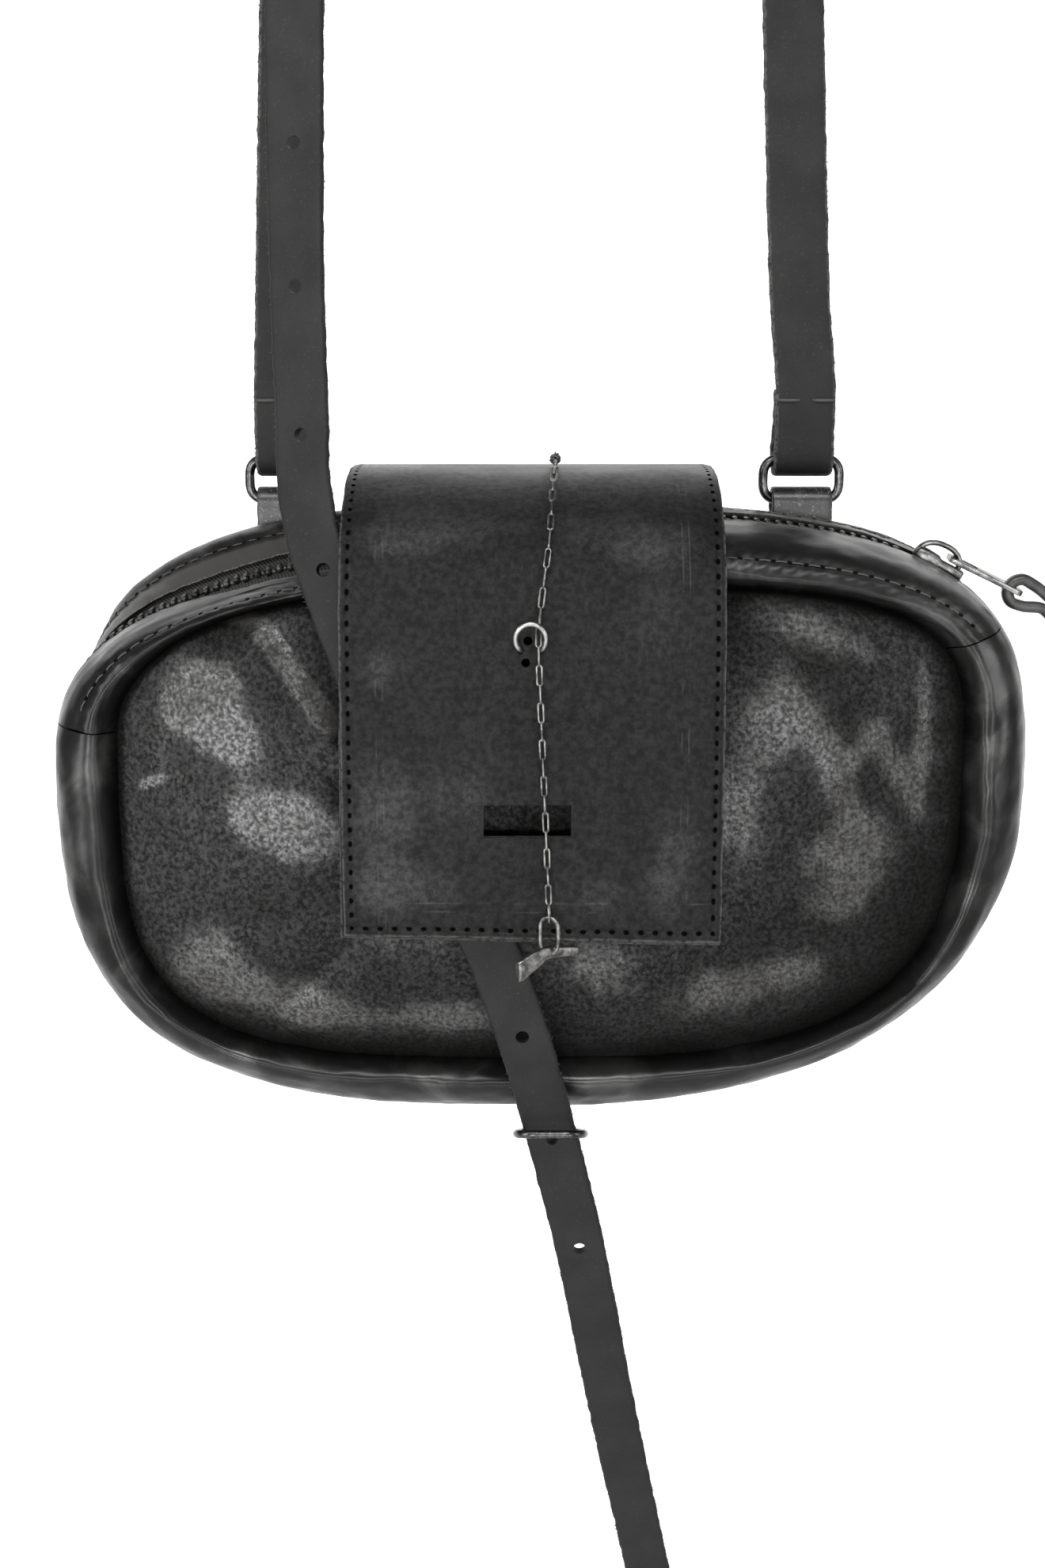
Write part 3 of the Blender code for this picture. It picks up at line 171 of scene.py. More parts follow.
# Cross section of the bag's rim from the front seam to the back seam, in three regions. y is a share of half
# the depth, out is a share of the way from the seam to the outer outline, lip is a share of half the zip gap.
SECTION = (
    # seam, side y, side out, left y, left out, right y, right out, lip
    ("front", -0.85, 0.00, -0.90, 0.00, -0.88, 0.00, 0),
    ("front", -1.09, 0.30, -1.05, 0.13, -1.08, 0.26, 0),
    ("front", -0.85, 0.78, -0.72, 0.29, -0.82, 0.70, 0),
    ("front", -0.36, 0.97, -0.15, 0.41, 0.00, 0.90, -1),
    ("front", 0.00, 1.00, -0.15, 0.47, 0.00, 0.92, 0),
    ("front", 0.36, 0.97, -0.15, 0.54, 0.00, 0.94, 1),
    ("back", 0.85, 0.80, 0.50, 1.00, 0.50, 1.00, 0),
    ("back", 1.06, 0.35, 0.95, 0.55, 0.95, 0.55, 0),
    ("back", 0.85, 0.00, 0.92, 0.00, 0.92, 0.00, 0),
)

# Folds and dents of the front panel: ends as shares of the seam's half width and drop, then width and height
FOLDS = (
    # name, x 1, z 1, x 2, z 2, width, height
    ("shoulder_ridge", -0.69, 0.49, -0.45, 0.10, 0.085, 0.0035),
    ("shoulder_valley", -0.60, 0.46, -0.42, 0.22, 0.080, -0.0045),
    ("lower_left_crease", -0.38, -0.42, -0.61, -0.78, 0.060, -0.0018),
    ("right_crumple", 0.52, 0.46, 0.83, 0.39, 0.090, -0.0030),
    ("right_wave", 0.61, 0.28, 0.68, 0.03, 0.070, 0.0022),
    ("right_cross", 0.75, 0.23, 0.91, 0.08, 0.060, -0.0016),
    ("lower_right_crease", 0.53, -0.60, 0.59, -0.78, 0.060, -0.0014),
)

# The flap's path from its sewn end to its free edge: y is a share of the flap's distance from the middle,
# in front where it is negative, and z is a share of the bag's rise
FLAP_PATH = (
    # name, y, z
    ("sewn_end", 0.978, 0.30),
    ("sewn_top", 0.985, 0.72),
    ("behind_ridge", 0.97, 0.94),
    ("over_ridge", 0.58, 1.09),
    ("crest", 0.13, 1.122),
    ("front_crest", -0.37, 1.098),
    ("front_shoulder", -0.71, 0.98),
    ("front_turn", -0.89, 0.81),
    ("front_upper", -0.97, 0.56),
    ("front_middle", -1.00, 0.06),
    ("free_edge", -1.00, -0.53),
)

# The strap over the shoulder, up from the right ring. x is a share of the bag's half width, y of its half
# depth, z of the strap's rise, and turn is the way its width points, in degrees from +X towards +Y.
OVER_ROUTE = (
    # name, x, y, z, turn
    ("right_low", 0.552, 1.00, 0.32, 0),
    ("right_middle", 0.511, 0.76, 0.55, 4),
    ("right_high", 0.490, 0.60, 0.70, 34),
    ("right_shoulder", 0.440, 0.45, 0.85, 72),
    ("right_arch", 0.280, 0.33, 0.965, 88),
    ("top", 0.025, 0.24, 1.00, 90),
    ("left_arch", -0.235, 0.18, 0.965, 92),
    ("left_shoulder", -0.395, 0.24, 0.88, 110),
    ("above_buckle", -0.448, 0.35, 0.79, 160),
    ("in_buckle", -0.459, 0.00, 0.741, 178),
    ("below_buckle", -0.464, -0.38, 0.69, 178),
    ("tail_high", -0.466, -0.50, 0.53, 176),
    ("tail_turning", -0.464, -0.86, 0.37, 162),
    ("tail_low", -0.456, -1.04, 0.26, 160),
)

# The tail in front of the bag. x is a share of the bag's half width, y of the strap's distance in front of
# the middle, z of the bag's drop.
FRONT_ROUTE = (
    # name, x, y, z, turn
    ("beside_flap", -0.450, 0.76, 0.740, 160),
    ("above_flap", -0.415, 0.860, 0.571, 168),
    ("behind_flap_edge", -0.333, 0.965, 0.274, 172),
    ("behind_flap", -0.240, 1.00, -0.052, 178),
    ("behind_slot", -0.175, 1.00, -0.233, 180),
    ("below_flap", -0.105, 1.00, -0.413, 180),
    ("lower_panel", -0.033, 0.965, -0.698, 180),
)

# The free end below the bottom ring: x is a share of the bag's half width, y of its half depth, z of the drop
# from the middle to the tip
TAIL_ROUTE = (
    # name, x, y, z, turn
    ("below_ring", 0.082, -1.05, -0.50, 180),
    ("swinging", 0.168, -0.42, -0.745, 181),
    ("tip", 0.265, 0.24, -1.00, 182),
)

# Punched holes of the tail, in pitches along it from its tip
HOLES = (3.90, 4.89, 5.88, 6.85, 7.75, 8.64, 9.65, 10.64, 11.69, 12.70)

# The chain's route: x, the distance above the flap's free edge, and its lift off the flap, in metres
CHAIN_ROUTE = (
    ("knot", 0.0048, 0.1585, 0.0015),
    ("front_crest", 0.0040, 0.1435, 0.0015),
    ("shoulder", 0.0025, 0.1170, 0.0015),
    ("above_ring", 0.0005, 0.1020, 0.0015),
    ("ring_top", -0.0004, 0.0945, 0.0015),
    ("in_ring", -0.0008, 0.0875, 0.0027),
    ("below_ring", -0.0006, 0.0790, 0.0028),
    ("upper_front", 0.0005, 0.0530, 0.0015),
    ("over_slot", 0.0014, 0.0330, 0.0015),
    ("lower_front", 0.0020, 0.0180, 0.0017),
    ("end_link", 0.0024, 0.0080, 0.0032),
)

# The toggle from its broad left end to its right end: place along it, drop, height and thickness as shares
TOGGLE = (
    # along, drop, height, thickness
    (-0.46, 0.64, 0.75, 0.75),
    (-0.42, 0.62, 1.00, 1.00),
    (-0.28, 0.38, 0.80, 1.05),
    (-0.12, 0.12, 0.40, 1.00),
    (0.00, 0.00, 0.00, 0.95),
    (0.14, 0.04, -0.10, 0.95),
    (0.28, 0.09, -0.20, 0.90),
    (0.38, 0.12, -0.35, 0.80),
    (0.42, 0.12, -0.60, 0.60),
)

# Sizes and tables that only the scene has follow

# Stitches and their holes: the flap's, the rim's and the straps'
STITCH_INSET = 0.0024
STITCH_PITCH = 0.0043
STITCH_HOLE = (0.00085, 0.00058)
SEAM_PITCH = 0.0050
SEAM_GROOVE = 0.00035
SEAM_PUCKER = 0.00016
FRONT_THREAD = 0.00050
BACK_THREAD = 0.00045
STRAP_STITCH_PLACE = 0.0092
STRAP_STITCH_LENGTH = 0.0068
STRAP_STITCH_WIRE = 0.0011
STRAP_STITCH_RISE = 0.0185
STRAP_FRAY = 0.00035
EDGE_TUCK = 0.0008
CROSS_SEAM_GAP = JOIN_GAP / 6
TAPE_RIB = 0.0011
TOOTH_STAGGER = 0.0003

# Places across the rim, in rows of its section: from 0 at the front seam to 8 at the back seam
FRONT_STITCH_ROW = 1.45
DRAWN_ROWS = (1.6, 3.0)
FRONT_LIP_ROW = 2.94
BACK_LIP_ROW = 5.1
BACK_STITCH_ROW = 5.62
TAPE_ROWS = (1.9, 5.3)

# How far the teeth start from the cross seam and end before the slider, in degrees
FIRST_TOOTH = 2.0
LAST_TOOTH = 1.0

# How flat the panels are in their middle, and how deep their seam gathers them
FRONT_FLATNESS = 4.2
BACK_FLATNESS = 2.4
PANEL_GATHER = 0.00060

# Soft waves of surfaces: height in metres (a share for the lips), how fast along and across, seed
PANEL_WAVES = ((0.00055, 28, 28, 2), (0.00022, 75, 75, 3))
RIM_WAVES = ((0.00060, 40, 1.7, 11), (0.00030, 130, 4.0, 12))
LIP_WAVES = ((1.0, 260, 1, 7), (0.6, 900, 1, 8))
TAPE_WAVES = ((0.00015, 90, 1, 4),)

# Steps of the dense surfaces round the bag in degrees, and along straps and wires in metres
PANEL_STEP = 0.75
PANEL_ROWS = 88
GUSSET_STEP = 0.6
STRIP_STEP = 0.35
TAPE_STEP = 0.4
STRAP_STEP = 0.0018
WIRE_STEP = 0.0004

# The studio and the photo's camera
FLOOR = -1.25
FLOOR_FRONT = -3.0
FLOOR_SIDE = 3.5
COVE_RADIUS = 0.8
WALL_HEIGHT = 2.6
WORLD_LIGHT = 0.16
LIGHT_AIM = (0, 0, -0.42)
EYE = (-0.0093, -0.6133, -0.3060)
EYE_TILT = 78
LENS = 29.09
SENSOR_HEIGHT = 24.0

FLAP_CREASES = (
    # name, distance above the free edge at its left end and its right end, from and to as shares of the
    # flap's width, depth
    ("long", 0.0690, 0.0590, 0.03, 0.97, 0.00050),
    ("upper", 0.0720, 0.0665, 0.06, 0.55, 0.00040),
    ("right", 0.0640, 0.0612, 0.50, 0.96, 0.00035),
    ("left_low", 0.0655, 0.0632, 0.04, 0.32, 0.00030),
)

# Thin creases of the front panel, which only the scene has: ends and width as in FOLDS
CREASES = (
    # name, x 1, z 1, x 2, z 2, width, height
    ("left_low", -0.72, -0.20, -0.50, -0.42, 0.022, -0.0007),
    ("left_side", -0.90, 0.20, -0.80, -0.12, 0.024, -0.0008),
    ("left_top", -0.82, 0.44, -0.70, 0.30, 0.020, -0.0007),
    ("ridge_foot", -0.52, 0.14, -0.44, -0.06, 0.024, -0.0009),
    ("right_top", 0.56, 0.52, 0.78, 0.50, 0.018, -0.0008),
    ("right_cross_1", 0.62, 0.30, 0.72, 0.02, 0.018, -0.0007),
    ("right_cross_2", 0.76, 0.26, 0.92, 0.06, 0.018, -0.0007),
    ("right_edge", 0.93, 0.30, 0.95, -0.16, 0.030, 0.0009),
    ("low_right_1", 0.53, -0.60, 0.57, -0.76, 0.016, -0.0007),
    ("low_right_2", 0.64, -0.62, 0.66, -0.70, 0.014, -0.0006),
    ("low_left_1", -0.36, -0.44, -0.60, -0.76, 0.018, -0.0008),
    ("low_middle", 0.12, -0.70, 0.30, -0.64, 0.020, -0.0005),
)

# Shinier places of wear in the leather, whose colour the looks also paint lighter as a painted highlight, and
# places of painted shade, in millimetres of the studio
MM = 0.001
PANEL_SHEEN = (
    # name, x, z, half width, half height, turn in degrees, strength
    ("ridge_left", -115.3, -380.7, 10.0, 3.5, -37, 1.00),
    ("ridge_top", -99.8, -375.7, 13.6, 3.7, 2, 1.05),
    ("ridge_bend", -85.0, -382.8, 10.0, 5.1, 40, 1.10),
    ("ridge_down", -75.3, -395.7, 15.8, 4.8, 52, 1.35),
    ("ridge_foot", -68.6, -404.6, 7.2, 4.6, 50, 1.20),
    ("dome", -105.8, -401.5, 18.1, 18.0, 20, 1.15),
    ("dome_low", -94.3, -414.9, 14.0, 11.1, 40, 0.75),
    ("left_streak", -123.4, -426.7, 7.7, 2.5, -25, 0.80),
    ("left_middle", -81.5, -438.1, 25.4, 14.3, 14, 1.15),
    ("left_low", -107.2, -483.2, 19.0, 15.7, 40, 0.85),
    ("left_bottom", -79.1, -497.1, 34.4, 11.1, 14, 0.85),
    ("middle_bottom", -31.5, -500.8, 27.2, 9.2, 0, 0.90),
    ("middle_low", -44.5, -473.3, 19.9, 16.6, 0, 0.45),
    ("beside_tail", 14.1, -483.2, 21.7, 14.8, 0, 0.60),
    ("right_inner", 54.7, -434.5, 14.5, 24.0, 0, 0.60),
    ("right_upper", 66.8, -404.2, 13.6, 20.3, 10, 0.80),
    ("right_cross_1", 83.9, -419.3, 7.2, 24.0, -24, 0.85),
    ("right_cross_2", 105.4, -424.0, 6.5, 22.2, -28, 0.80),
    ("right_cross_3", 93.0, -415.5, 6.2, 25.9, 40, 0.60),
    ("right_middle", 92.3, -445.1, 19.9, 17.6, 0, 0.95),
    ("right_edge", 113.1, -409.9, 4.7, 33.3, 0, 0.80),
    ("top_right", 80.7, -380.2, 29.0, 9.2, 18, 0.60),
    ("right_low", 89.2, -462.5, 16.3, 10.2, -20, 0.75),
    ("right_bottom", 61.7, -489.2, 36.2, 11.1, -14, 0.80),
)
PANEL_SHADE = (
    # name, x, z, half width, half height, turn in degrees, strength
    ("valley", -67.5, -387.2, 17.2, 9.6, 50, 1.20),
    ("under_top_left", -77.4, -371.4, 19.9, 5.5, -8, 0.90),
    ("below_ridge", -86.8, -395.2, 19.0, 5.5, 54, 0.80),
    ("under_arch", -105.7, -386.0, 13.6, 4.6, 0, 0.60),
    ("beside_flap_right", 52.4, -376.5, 10.9, 20.3, 0, 1.00),
    ("under_top_right", 89.5, -369.2, 36.2, 6.5, 18, 0.70),
    ("left_hollow", -87.6, -462.5, 27.2, 9.2, -10, 0.70),
    ("right_hollow", 72.5, -471.4, 19.9, 8.3, -10, 0.50),
    ("right_corner", 111.9, -465.5, 10.9, 22.2, 25, 0.60),
    ("below_flap_left", -52.2, -483.2, 12.7, 9.2, 0, 0.50),
    ("below_flap_right", 0.9, -497.1, 14.5, 11.1, 0, 0.60),
)
FLAP_SHEEN = (
    # name, x, z, half width, half height, turn in degrees, strength
    ("crest_left", -40.9, -349.9, 30.6, 9.2, 0, 0.90),
    ("crest_right", 23.6, -351.7, 28.8, 8.4, 0, 0.85),
    ("crest_middle", -6.9, -346.3, 59.4, 6.2, 0, 0.60),
    ("upper_right", 29.3, -372.3, 16.2, 22.0, 0, 0.50),
    ("left", -49.3, -431.7, 19.8, 31.2, 0, 0.80),
    ("middle", -25.2, -426.0, 16.2, 29.4, 0, 0.55),
    ("low_left", -44.0, -455.6, 27.0, 12.8, 0, 0.65),
    ("right_low", 35.9, -443.1, 13.5, 27.5, 0, 0.65),
    ("low_middle", 10.0, -455.6, 30.6, 11.0, 0, 0.50),
    ("above_crease", -50.4, -386.9, 16.2, 11.0, 0, 0.55),
)

LIGHTS = (
    # name, place, width, height, power in watts
    ("strip_up", (-0.15, -1.40, -0.34), 1.20, 0.16, 9.8),
    ("strip_left", (-0.58, -1.30, -0.72), 0.16, 0.80, 7.8),
    ("strip_right", (0.62, -1.30, -0.62), 0.12, 0.70, 4.6),
    ("top_soft", (-0.05, -0.75, 0.40), 1.00, 0.30, 12.0),
    ("left_soft", (-1.00, -0.55, -0.25), 0.30, 1.00, 8.0),
    ("right_soft", (1.00, -0.55, -0.25), 0.30, 1.00, 5.0),
    ("low_soft", (0.00, -1.00, -1.10), 1.00, 0.14, 2.5),
)


def clamp(value, low=0.0, high=1.0):
    return max(low, min(high, value))


def ease(low, high, value):
    """0 below low, 1 above high, and smooth between."""
    share = clamp((value - low) / (high - low))
    return share * share * (3 - 2 * share)


def spline(rows, at):
    """Read a smooth curve through equally spaced rows of numbers at a row number that may be a fraction."""
    last = len(rows) - 1
    at = clamp(at, 0.0, last)
    i = min(int(at), last - 1)
    t = at - i
    found = []
    for column in range(len(rows[0])):
        b, c = rows[i][column], rows[i + 1][column]
        a = rows[i - 1][column] if i > 0 else 2 * b - c
        d = rows[i + 2][column] if i + 2 <= last else 2 * c - b
        found.append(0.5 * (2 * b + (c - a) * t + (2 * a - 5 * b + 4 * c - d) * t * t
                            + (3 * b - a - 3 * c + d) * t ** 3))
    return found


def even_path(rows, step):
    """Points at even distances along the smooth curve through the rows."""
    fine = [spline(rows, i / 40) for i in range(40 * (len(rows) - 1) + 1)]
    lengths = [0.0]
    for a, b in zip(fine, fine[1:]):
        lengths.append(lengths[-1] + math.dist(a[:3], b[:3]))
    count = max(2, round(lengths[-1] / step))
    points, k = [], 0
    for i in range(count + 1):
        want = lengths[-1] * i / count
        while k < len(lengths) - 2 and lengths[k + 1] < want:
            k += 1
        share = clamp((want - lengths[k]) / (lengths[k + 1] - lengths[k]))
        points.append([p + (q - p) * share for p, q in zip(fine[k], fine[k + 1])])
    return points, lengths[-1]


def corner_value(values, angle):
    """Blend the four corner values (top right, top left, bottom left, bottom right) round the bag."""
    quarter = (angle % 360) / 90
    here = int(quarter) % 4
    within = quarter - int(quarter)
    if within < 0.17:
        return values[here] + (values[here - 1] - values[here]) * (0.5 - 0.5 * ease(0, 0.17, within))
    if within > 0.83:
        return values[here] + (values[(here + 1) % 4] - values[here]) * 0.5 * ease(0.83, 1.0, within)
    return values[here]


def outline_reach(name, angle):
    """Distance from the bag's centre to an outline, at an angle in degrees from +X towards +Z."""
    side, top, bottom, *corners = OUTLINES[name]
    power = corner_value(corners, angle)
    height = (BAG_RISE - top) if math.sin(math.radians(angle)) > 0 else (BAG_DROP - bottom)
    x = abs(math.cos(math.radians(angle))) / (HALF_WIDTH - side)
    z = abs(math.sin(math.radians(angle))) / height
    return (x ** power + z ** power) ** (-1 / power)


@lru_cache(maxsize=None)
def section_rows(angle):
    """The rim's cross section at one angle, as rows of (y, reach)."""
    angle = angle % 360
    top = ease(0, 34, angle) * (1 - ease(150, 180, angle)) if angle < 180 else 0.0
    left = ease(75, 105, angle)
    outer = outline_reach("outer", angle)
    rows = []
    for seam, y_side, out_side, y_left, out_left, y_right, out_right, lip in SECTION:
        y_top = y_right + (y_left - y_right) * left
        out_top = out_right + (out_left - out_right) * left
        base = outline_reach(seam, angle)
        y = (y_side + (y_top - y_side) * top) * HALF_DEPTH + lip * top * ZIP_GAP / 2
        out = out_side + (out_top - out_side) * top
        rows.append((y, base + (outer - base) * out))
    return rows


@lru_cache(maxsize=None)
def rim_point(angle, row, depth=0.0):
    """A point of the rim's surface, moved into the leather by a depth along its own normal."""
    rows = section_rows(angle)
    y, reach = spline(rows, row)
    if depth:
        y_1, reach_1 = spline(rows, row - 0.02)
        y_2, reach_2 = spline(rows, row + 0.02)
        across = Vector((y_2 - y_1, reach_2 - reach_1)).normalized()
        y += depth * across.y
        reach -= depth * across.x
    turn = math.radians(angle)
    return Vector((reach * math.cos(turn), y, reach * math.sin(turn)))


def zip_frame(angle):
    """A place on the zip's line with its directions: along the zip, across it and out of the bag."""
    here = rim_point(angle, 4)
    along = (rim_point(angle - 0.5, 4) - rim_point(angle + 0.5, 4)).normalized()
    across = (rim_point(angle, 4.6) - rim_point(angle, 3.4)).normalized()
    across = (across - along * across.dot(along)).normalized()
    return here, along, across, along.cross(across).normalized()


def zip_angle(from_angle, distance):
    """The angle that lies a distance along the zip towards the right from another."""
    angle = from_angle
    step = 0.25
    left = distance
    while left > 0:
        left -= (rim_point(angle, 4) - rim_point(angle - step, 4)).length
        angle -= step
    return angle


def rounded_loop(width, height, count, power=2.0):
    """Points round a loop in its own plane: power 2 is an ellipse, and more is squarer."""
    points = []
    for i in range(count):
        turn = 2 * math.pi * (i + 0.5) / count
        c, s = math.cos(turn), math.sin(turn)
        reach = (abs(c / width) ** power + abs(s / height) ** power) ** (-1 / power)
        points.append((reach * c, reach * s))
    return points


def flap_line():
    """The flap's path in its side view, as even points of (y, z) from the sewn end to the free edge."""
    rows = []
    for _, y, z in FLAP_PATH:
        rows.append((y * (FLAP_BACK if y > 0 else FLAP_FRONT), z * BAG_RISE))
    return even_path(rows, 0.0045)


FLAP_LINE, FLAP_LENGTH = flap_line()


def flap_frame(distance):
    """The flap's inner face at a distance above its free edge: place, down along it, and out of it."""
    at = clamp(1 - distance / FLAP_LENGTH) * (len(FLAP_LINE) - 1)
    i = min(int(at), len(FLAP_LINE) - 2)
    share = at - i
    y, z = (a + (b - a) * share for a, b in zip(FLAP_LINE[i], FLAP_LINE[i + 1]))
    before = Vector(spline(FLAP_LINE, at - 0.6))
    after = Vector(spline(FLAP_LINE, at + 0.6))
    down = (after - before).normalized()
    return Vector((0, y, z)), Vector((0, down.x, down.y)), Vector((0, down.y, -down.x))


def flap_point(distance, x, lift):
    place, _, out = flap_frame(distance)
    return place + out * lift + Vector((x, 0, 0))


def flap_distance(z):
    """How far above the free edge the front of the flap reaches a height."""
    distance = 0.0
    while flap_frame(distance)[0].z < z and distance < FLAP_LENGTH:
        distance += 0.0002
    return distance


def facing(turn):
    """The way a strap's width points, from its turn in degrees."""
    return Vector((math.cos(math.radians(turn)), math.sin(math.radians(turn)), 0))


def fold(x, y, z, radius, start, end, steps=6):
    """Stations of a strap round a bar that lies along X, between two angles in its side view."""
    found = []
    for i in range(steps + 1):
        turn = math.radians(start + (end - start) * i / steps)
        found.append((x, y + radius * math.cos(turn), z + radius * math.sin(turn), 0))
    return found


def ring_fold_radius(wall):
    """The radius of a strap's middle round a bar of a strap ring, clear of the bar's bent ends."""
    return RING_WIRE / 2 + JOIN_GAP + wall / 2 + RING_CORNER * RING_HEIGHT


def bar_height(side):
    """The height of a strap ring's top or bottom bar."""
    return RING_Z + side * (RING_HEIGHT - RING_WIRE) / 2


def folded_end(x):
    """A strap's end: its short ply behind, down to the ring's top bar and round under it."""
    radius = ring_fold_radius(STRAP_WALL)
    bar = bar_height(1)
    front = RING_Y - radius
    close = front + STRAP_WALL + 2 * JOIN_GAP
    rows = [(x, close, bar + STRAP_FOLD_LENGTH, 0), (x, close, bar + 0.75 * STRAP_FOLD_LENGTH, 0),
            (x, RING_Y + 0.45 * radius, bar + 0.40 * STRAP_FOLD_LENGTH, 0)]
    rows += fold(x, RING_Y, bar, radius, 0, -180)
    rows.append((x, front, bar + 0.40 * STRAP_FOLD_LENGTH, 0))
    rows.append((x, front, bar + 0.80 * STRAP_FOLD_LENGTH, 0))
    return rows


def strap_stations():
    """The shoulder strap's whole route as even rows of x, y, z and turn, after its folded end."""
    rows = [(RIGHT_RING_X, RING_Y - ring_fold_radius(STRAP_WALL), bar_height(1) + STRAP_FOLD_LENGTH, 0)]
    for _, x, y, z, turn in OVER_ROUTE:
        rows.append((x * HALF_WIDTH, y * HALF_DEPTH, z * (STRAP_RISE + STRAP_WALL / 2), turn))
    under_flap = FRONT_FACE + STRAP_WALL / 2 + STRAP_FLOAT
    for _, x, y, z, turn in FRONT_ROUTE:
        rows.append((x * HALF_WIDTH, -y * under_flap, z * BAG_DROP, turn))
    ring = bottom_ring_centre()
    rows.append((ring.x, ring.y - 0.14 * BOTTOM_RING_REACH, ring.z + 0.0020, 180))
    for _, x, y, z, turn in TAIL_ROUTE:
        rows.append((x * HALF_WIDTH, y * HALF_DEPTH, z * TAIL_DROP, turn))
    return even_path(rows, 0.0170)


def buckle_place():
    """The middle of the buckle, on the strap where it passes through."""
    _, x, y, z, _ = next(row for row in OVER_ROUTE if row[0] == "in_buckle")
    return Vector((x * HALF_WIDTH, y * HALF_DEPTH, z * STRAP_RISE))


def bottom_ring_centre():
    """The middle of the ring under the bag."""
    return Vector((BOTTOM_RING_X, -1.045 * HALF_DEPTH, -BAG_DROP - BOTTOM_RING_SINK))


# From the part's own frame, round the bag's middle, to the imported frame
TOP_ROW = next(row for row in OVER_ROUTE if row[0] == "top")
HANG = np.array((-TOP_ROW[1] * HALF_WIDTH, -TOP_ROW[2] * HALF_DEPTH, -STRAP_RISE))


def smooth_path(rows, step):
    """Points at even distances along a curve through rows that may be unevenly spaced."""
    p = np.array(rows, dtype=float)
    gaps = np.maximum(np.linalg.norm(np.diff(p[:, :3], axis=0), axis=1), 1e-7)
    slopes = np.diff(p, axis=0) / gaps[:, None]
    tangents = np.empty_like(p)
    tangents[0], tangents[-1] = slopes[0], slopes[-1]
    before, after = gaps[:-1, None], gaps[1:, None]
    tangents[1:-1] = (slopes[:-1] * after + slopes[1:] * before) / (before + after)
    places = np.concatenate(([0.0], np.cumsum(gaps)))
    at = np.linspace(0.0, places[-1], max(2, round(places[-1] / step)) + 1)
    i = np.clip(np.searchsorted(places, at, side="right") - 1, 0, len(gaps) - 1)
    h = gaps[i][:, None]
    t = ((at - places[i]) / gaps[i])[:, None]
    return ((2 * t ** 3 - 3 * t ** 2 + 1) * p[i] + (t ** 3 - 2 * t ** 2 + t) * h * tangents[i]
            + (3 * t ** 2 - 2 * t ** 3) * p[i + 1] + (t ** 3 - t ** 2) * h * tangents[i + 1])


def wave(x, y, z, seed=0.0):
    """Smooth noise from -1 to 1."""
    return noise.noise(Vector((x, y + 31.7 * seed, z)))


def waves(x, y, table, z=0):
    """Layers of smooth noise from a table, added up."""
    return sum(height * wave(x * a, y * b, z, seed) for height, a, b, seed in table)


def sheet_data(rows, wrap=False, ring=False, caps=False, runs=None, flip=False):
    """Vertices, faces and run coordinates of a surface through rows of points."""
    points = np.asarray(rows, dtype=float)
    count, wide = points.shape[:2]
    down = np.arange(count if ring else count - 1)
    across = np.arange(wide if wrap else wide - 1)
    i, j = np.meshgrid(down, across, indexing="ij")
    here, below = i * wide, (i + 1) % count * wide
    beside = (j + 1) % wide
    quads = np.stack([here + j, here + beside, below + beside, below + j], axis=-1).reshape(-1, 4)
    if flip:
        quads = quads[:, ::-1]
    faces = quads.tolist()
    if caps:
        first = list(range(wide))
        last = list(range((count - 1) * wide, count * wide))
        faces += [first, last[::-1]] if flip else [first[::-1], last]
    runs = np.zeros((count, wide, 2)) if runs is None else np.asarray(runs, dtype=float)
    return points.reshape(-1, 3), faces, runs.reshape(-1, 2)


def joined(parts):
    """Several surfaces as one: its vertices, faces and run coordinates."""
    points, faces, runs, start = [], [], [], 0
    for part_points, part_faces, part_runs in parts:
        faces += [[corner + start for corner in face] for face in part_faces]
        points.append(part_points)
        runs.append(part_runs)
        start += len(part_points)
    return np.concatenate(points), faces, np.concatenate(runs)


def new_object(name, data):
    made = bpy.data.objects.new(name, data)
    bpy.context.scene.collection.objects.link(made)
    return made


def mesh_object(name, points, faces):
    mesh = bpy.data.meshes.new(name)
    mesh.from_pydata(points.tolist(), [], faces)
    return new_object(name, mesh)


def piece(name, parts, look, stands_for=(), body="bag", crease=50):
    """One visible piece of the bag from surfaces, riding on a body and standing for some CAD nodes."""
    points, faces, runs = joined(parts)
    made = mesh_object(name, points + HANG, faces)
    mesh = made.data
    corners = np.empty(len(mesh.loops), dtype=np.int32)
    mesh.loops.foreach_get("vertex_index", corners)
    layer = mesh.uv_layers.new(name="run")
    layer.data.foreach_set("uv", runs[corners].astype(np.float32).ravel())
    mesh.shade_smooth()
    if crease < 180:
        mesh.set_sharp_from_angle(angle=math.radians(crease))
    mesh.materials.append(LOOKS[look])
    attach(made, body)
    if stands_for:
        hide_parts(*stands_for)
    return made


def ahead_at(points, i, closed=False):
    """The direction of a path at one of its points."""
    if closed:
        return (points[(i + 1) % len(points)] - points[i - 1]).normalized()
    return (points[min(i + 1, len(points) - 1)] - points[max(i - 1, 0)]).normalized()


def tube(points, diameter, sides=12, closed=False):
    """A round wire along points. The diameter may be a list."""
    points = [Vector(point) for point in points]
    sizes = diameter if isinstance(diameter, list) else [diameter] * len(points)
    turns = [2 * math.pi * k / sides for k in range(sides)]
    rings, runs, length, normal = [], [], 0.0, None
    for i, point in enumerate(points):
        ahead = ahead_at(points, i, closed)
        normal = ahead.orthogonal() if normal is None else normal - ahead * normal.dot(ahead)
        normal.normalize()
        other = ahead.cross(normal)
        half = sizes[i] / 2
        rings.append([point + normal * (half * math.cos(t)) + other * (half * math.sin(t)) for t in turns])
        length += (point - points[i - 1]).length if i else 0.0
        runs.append([(length, t) for t in turns])
    return sheet_data(rings, wrap=True, ring=closed, caps=not closed, runs=runs)


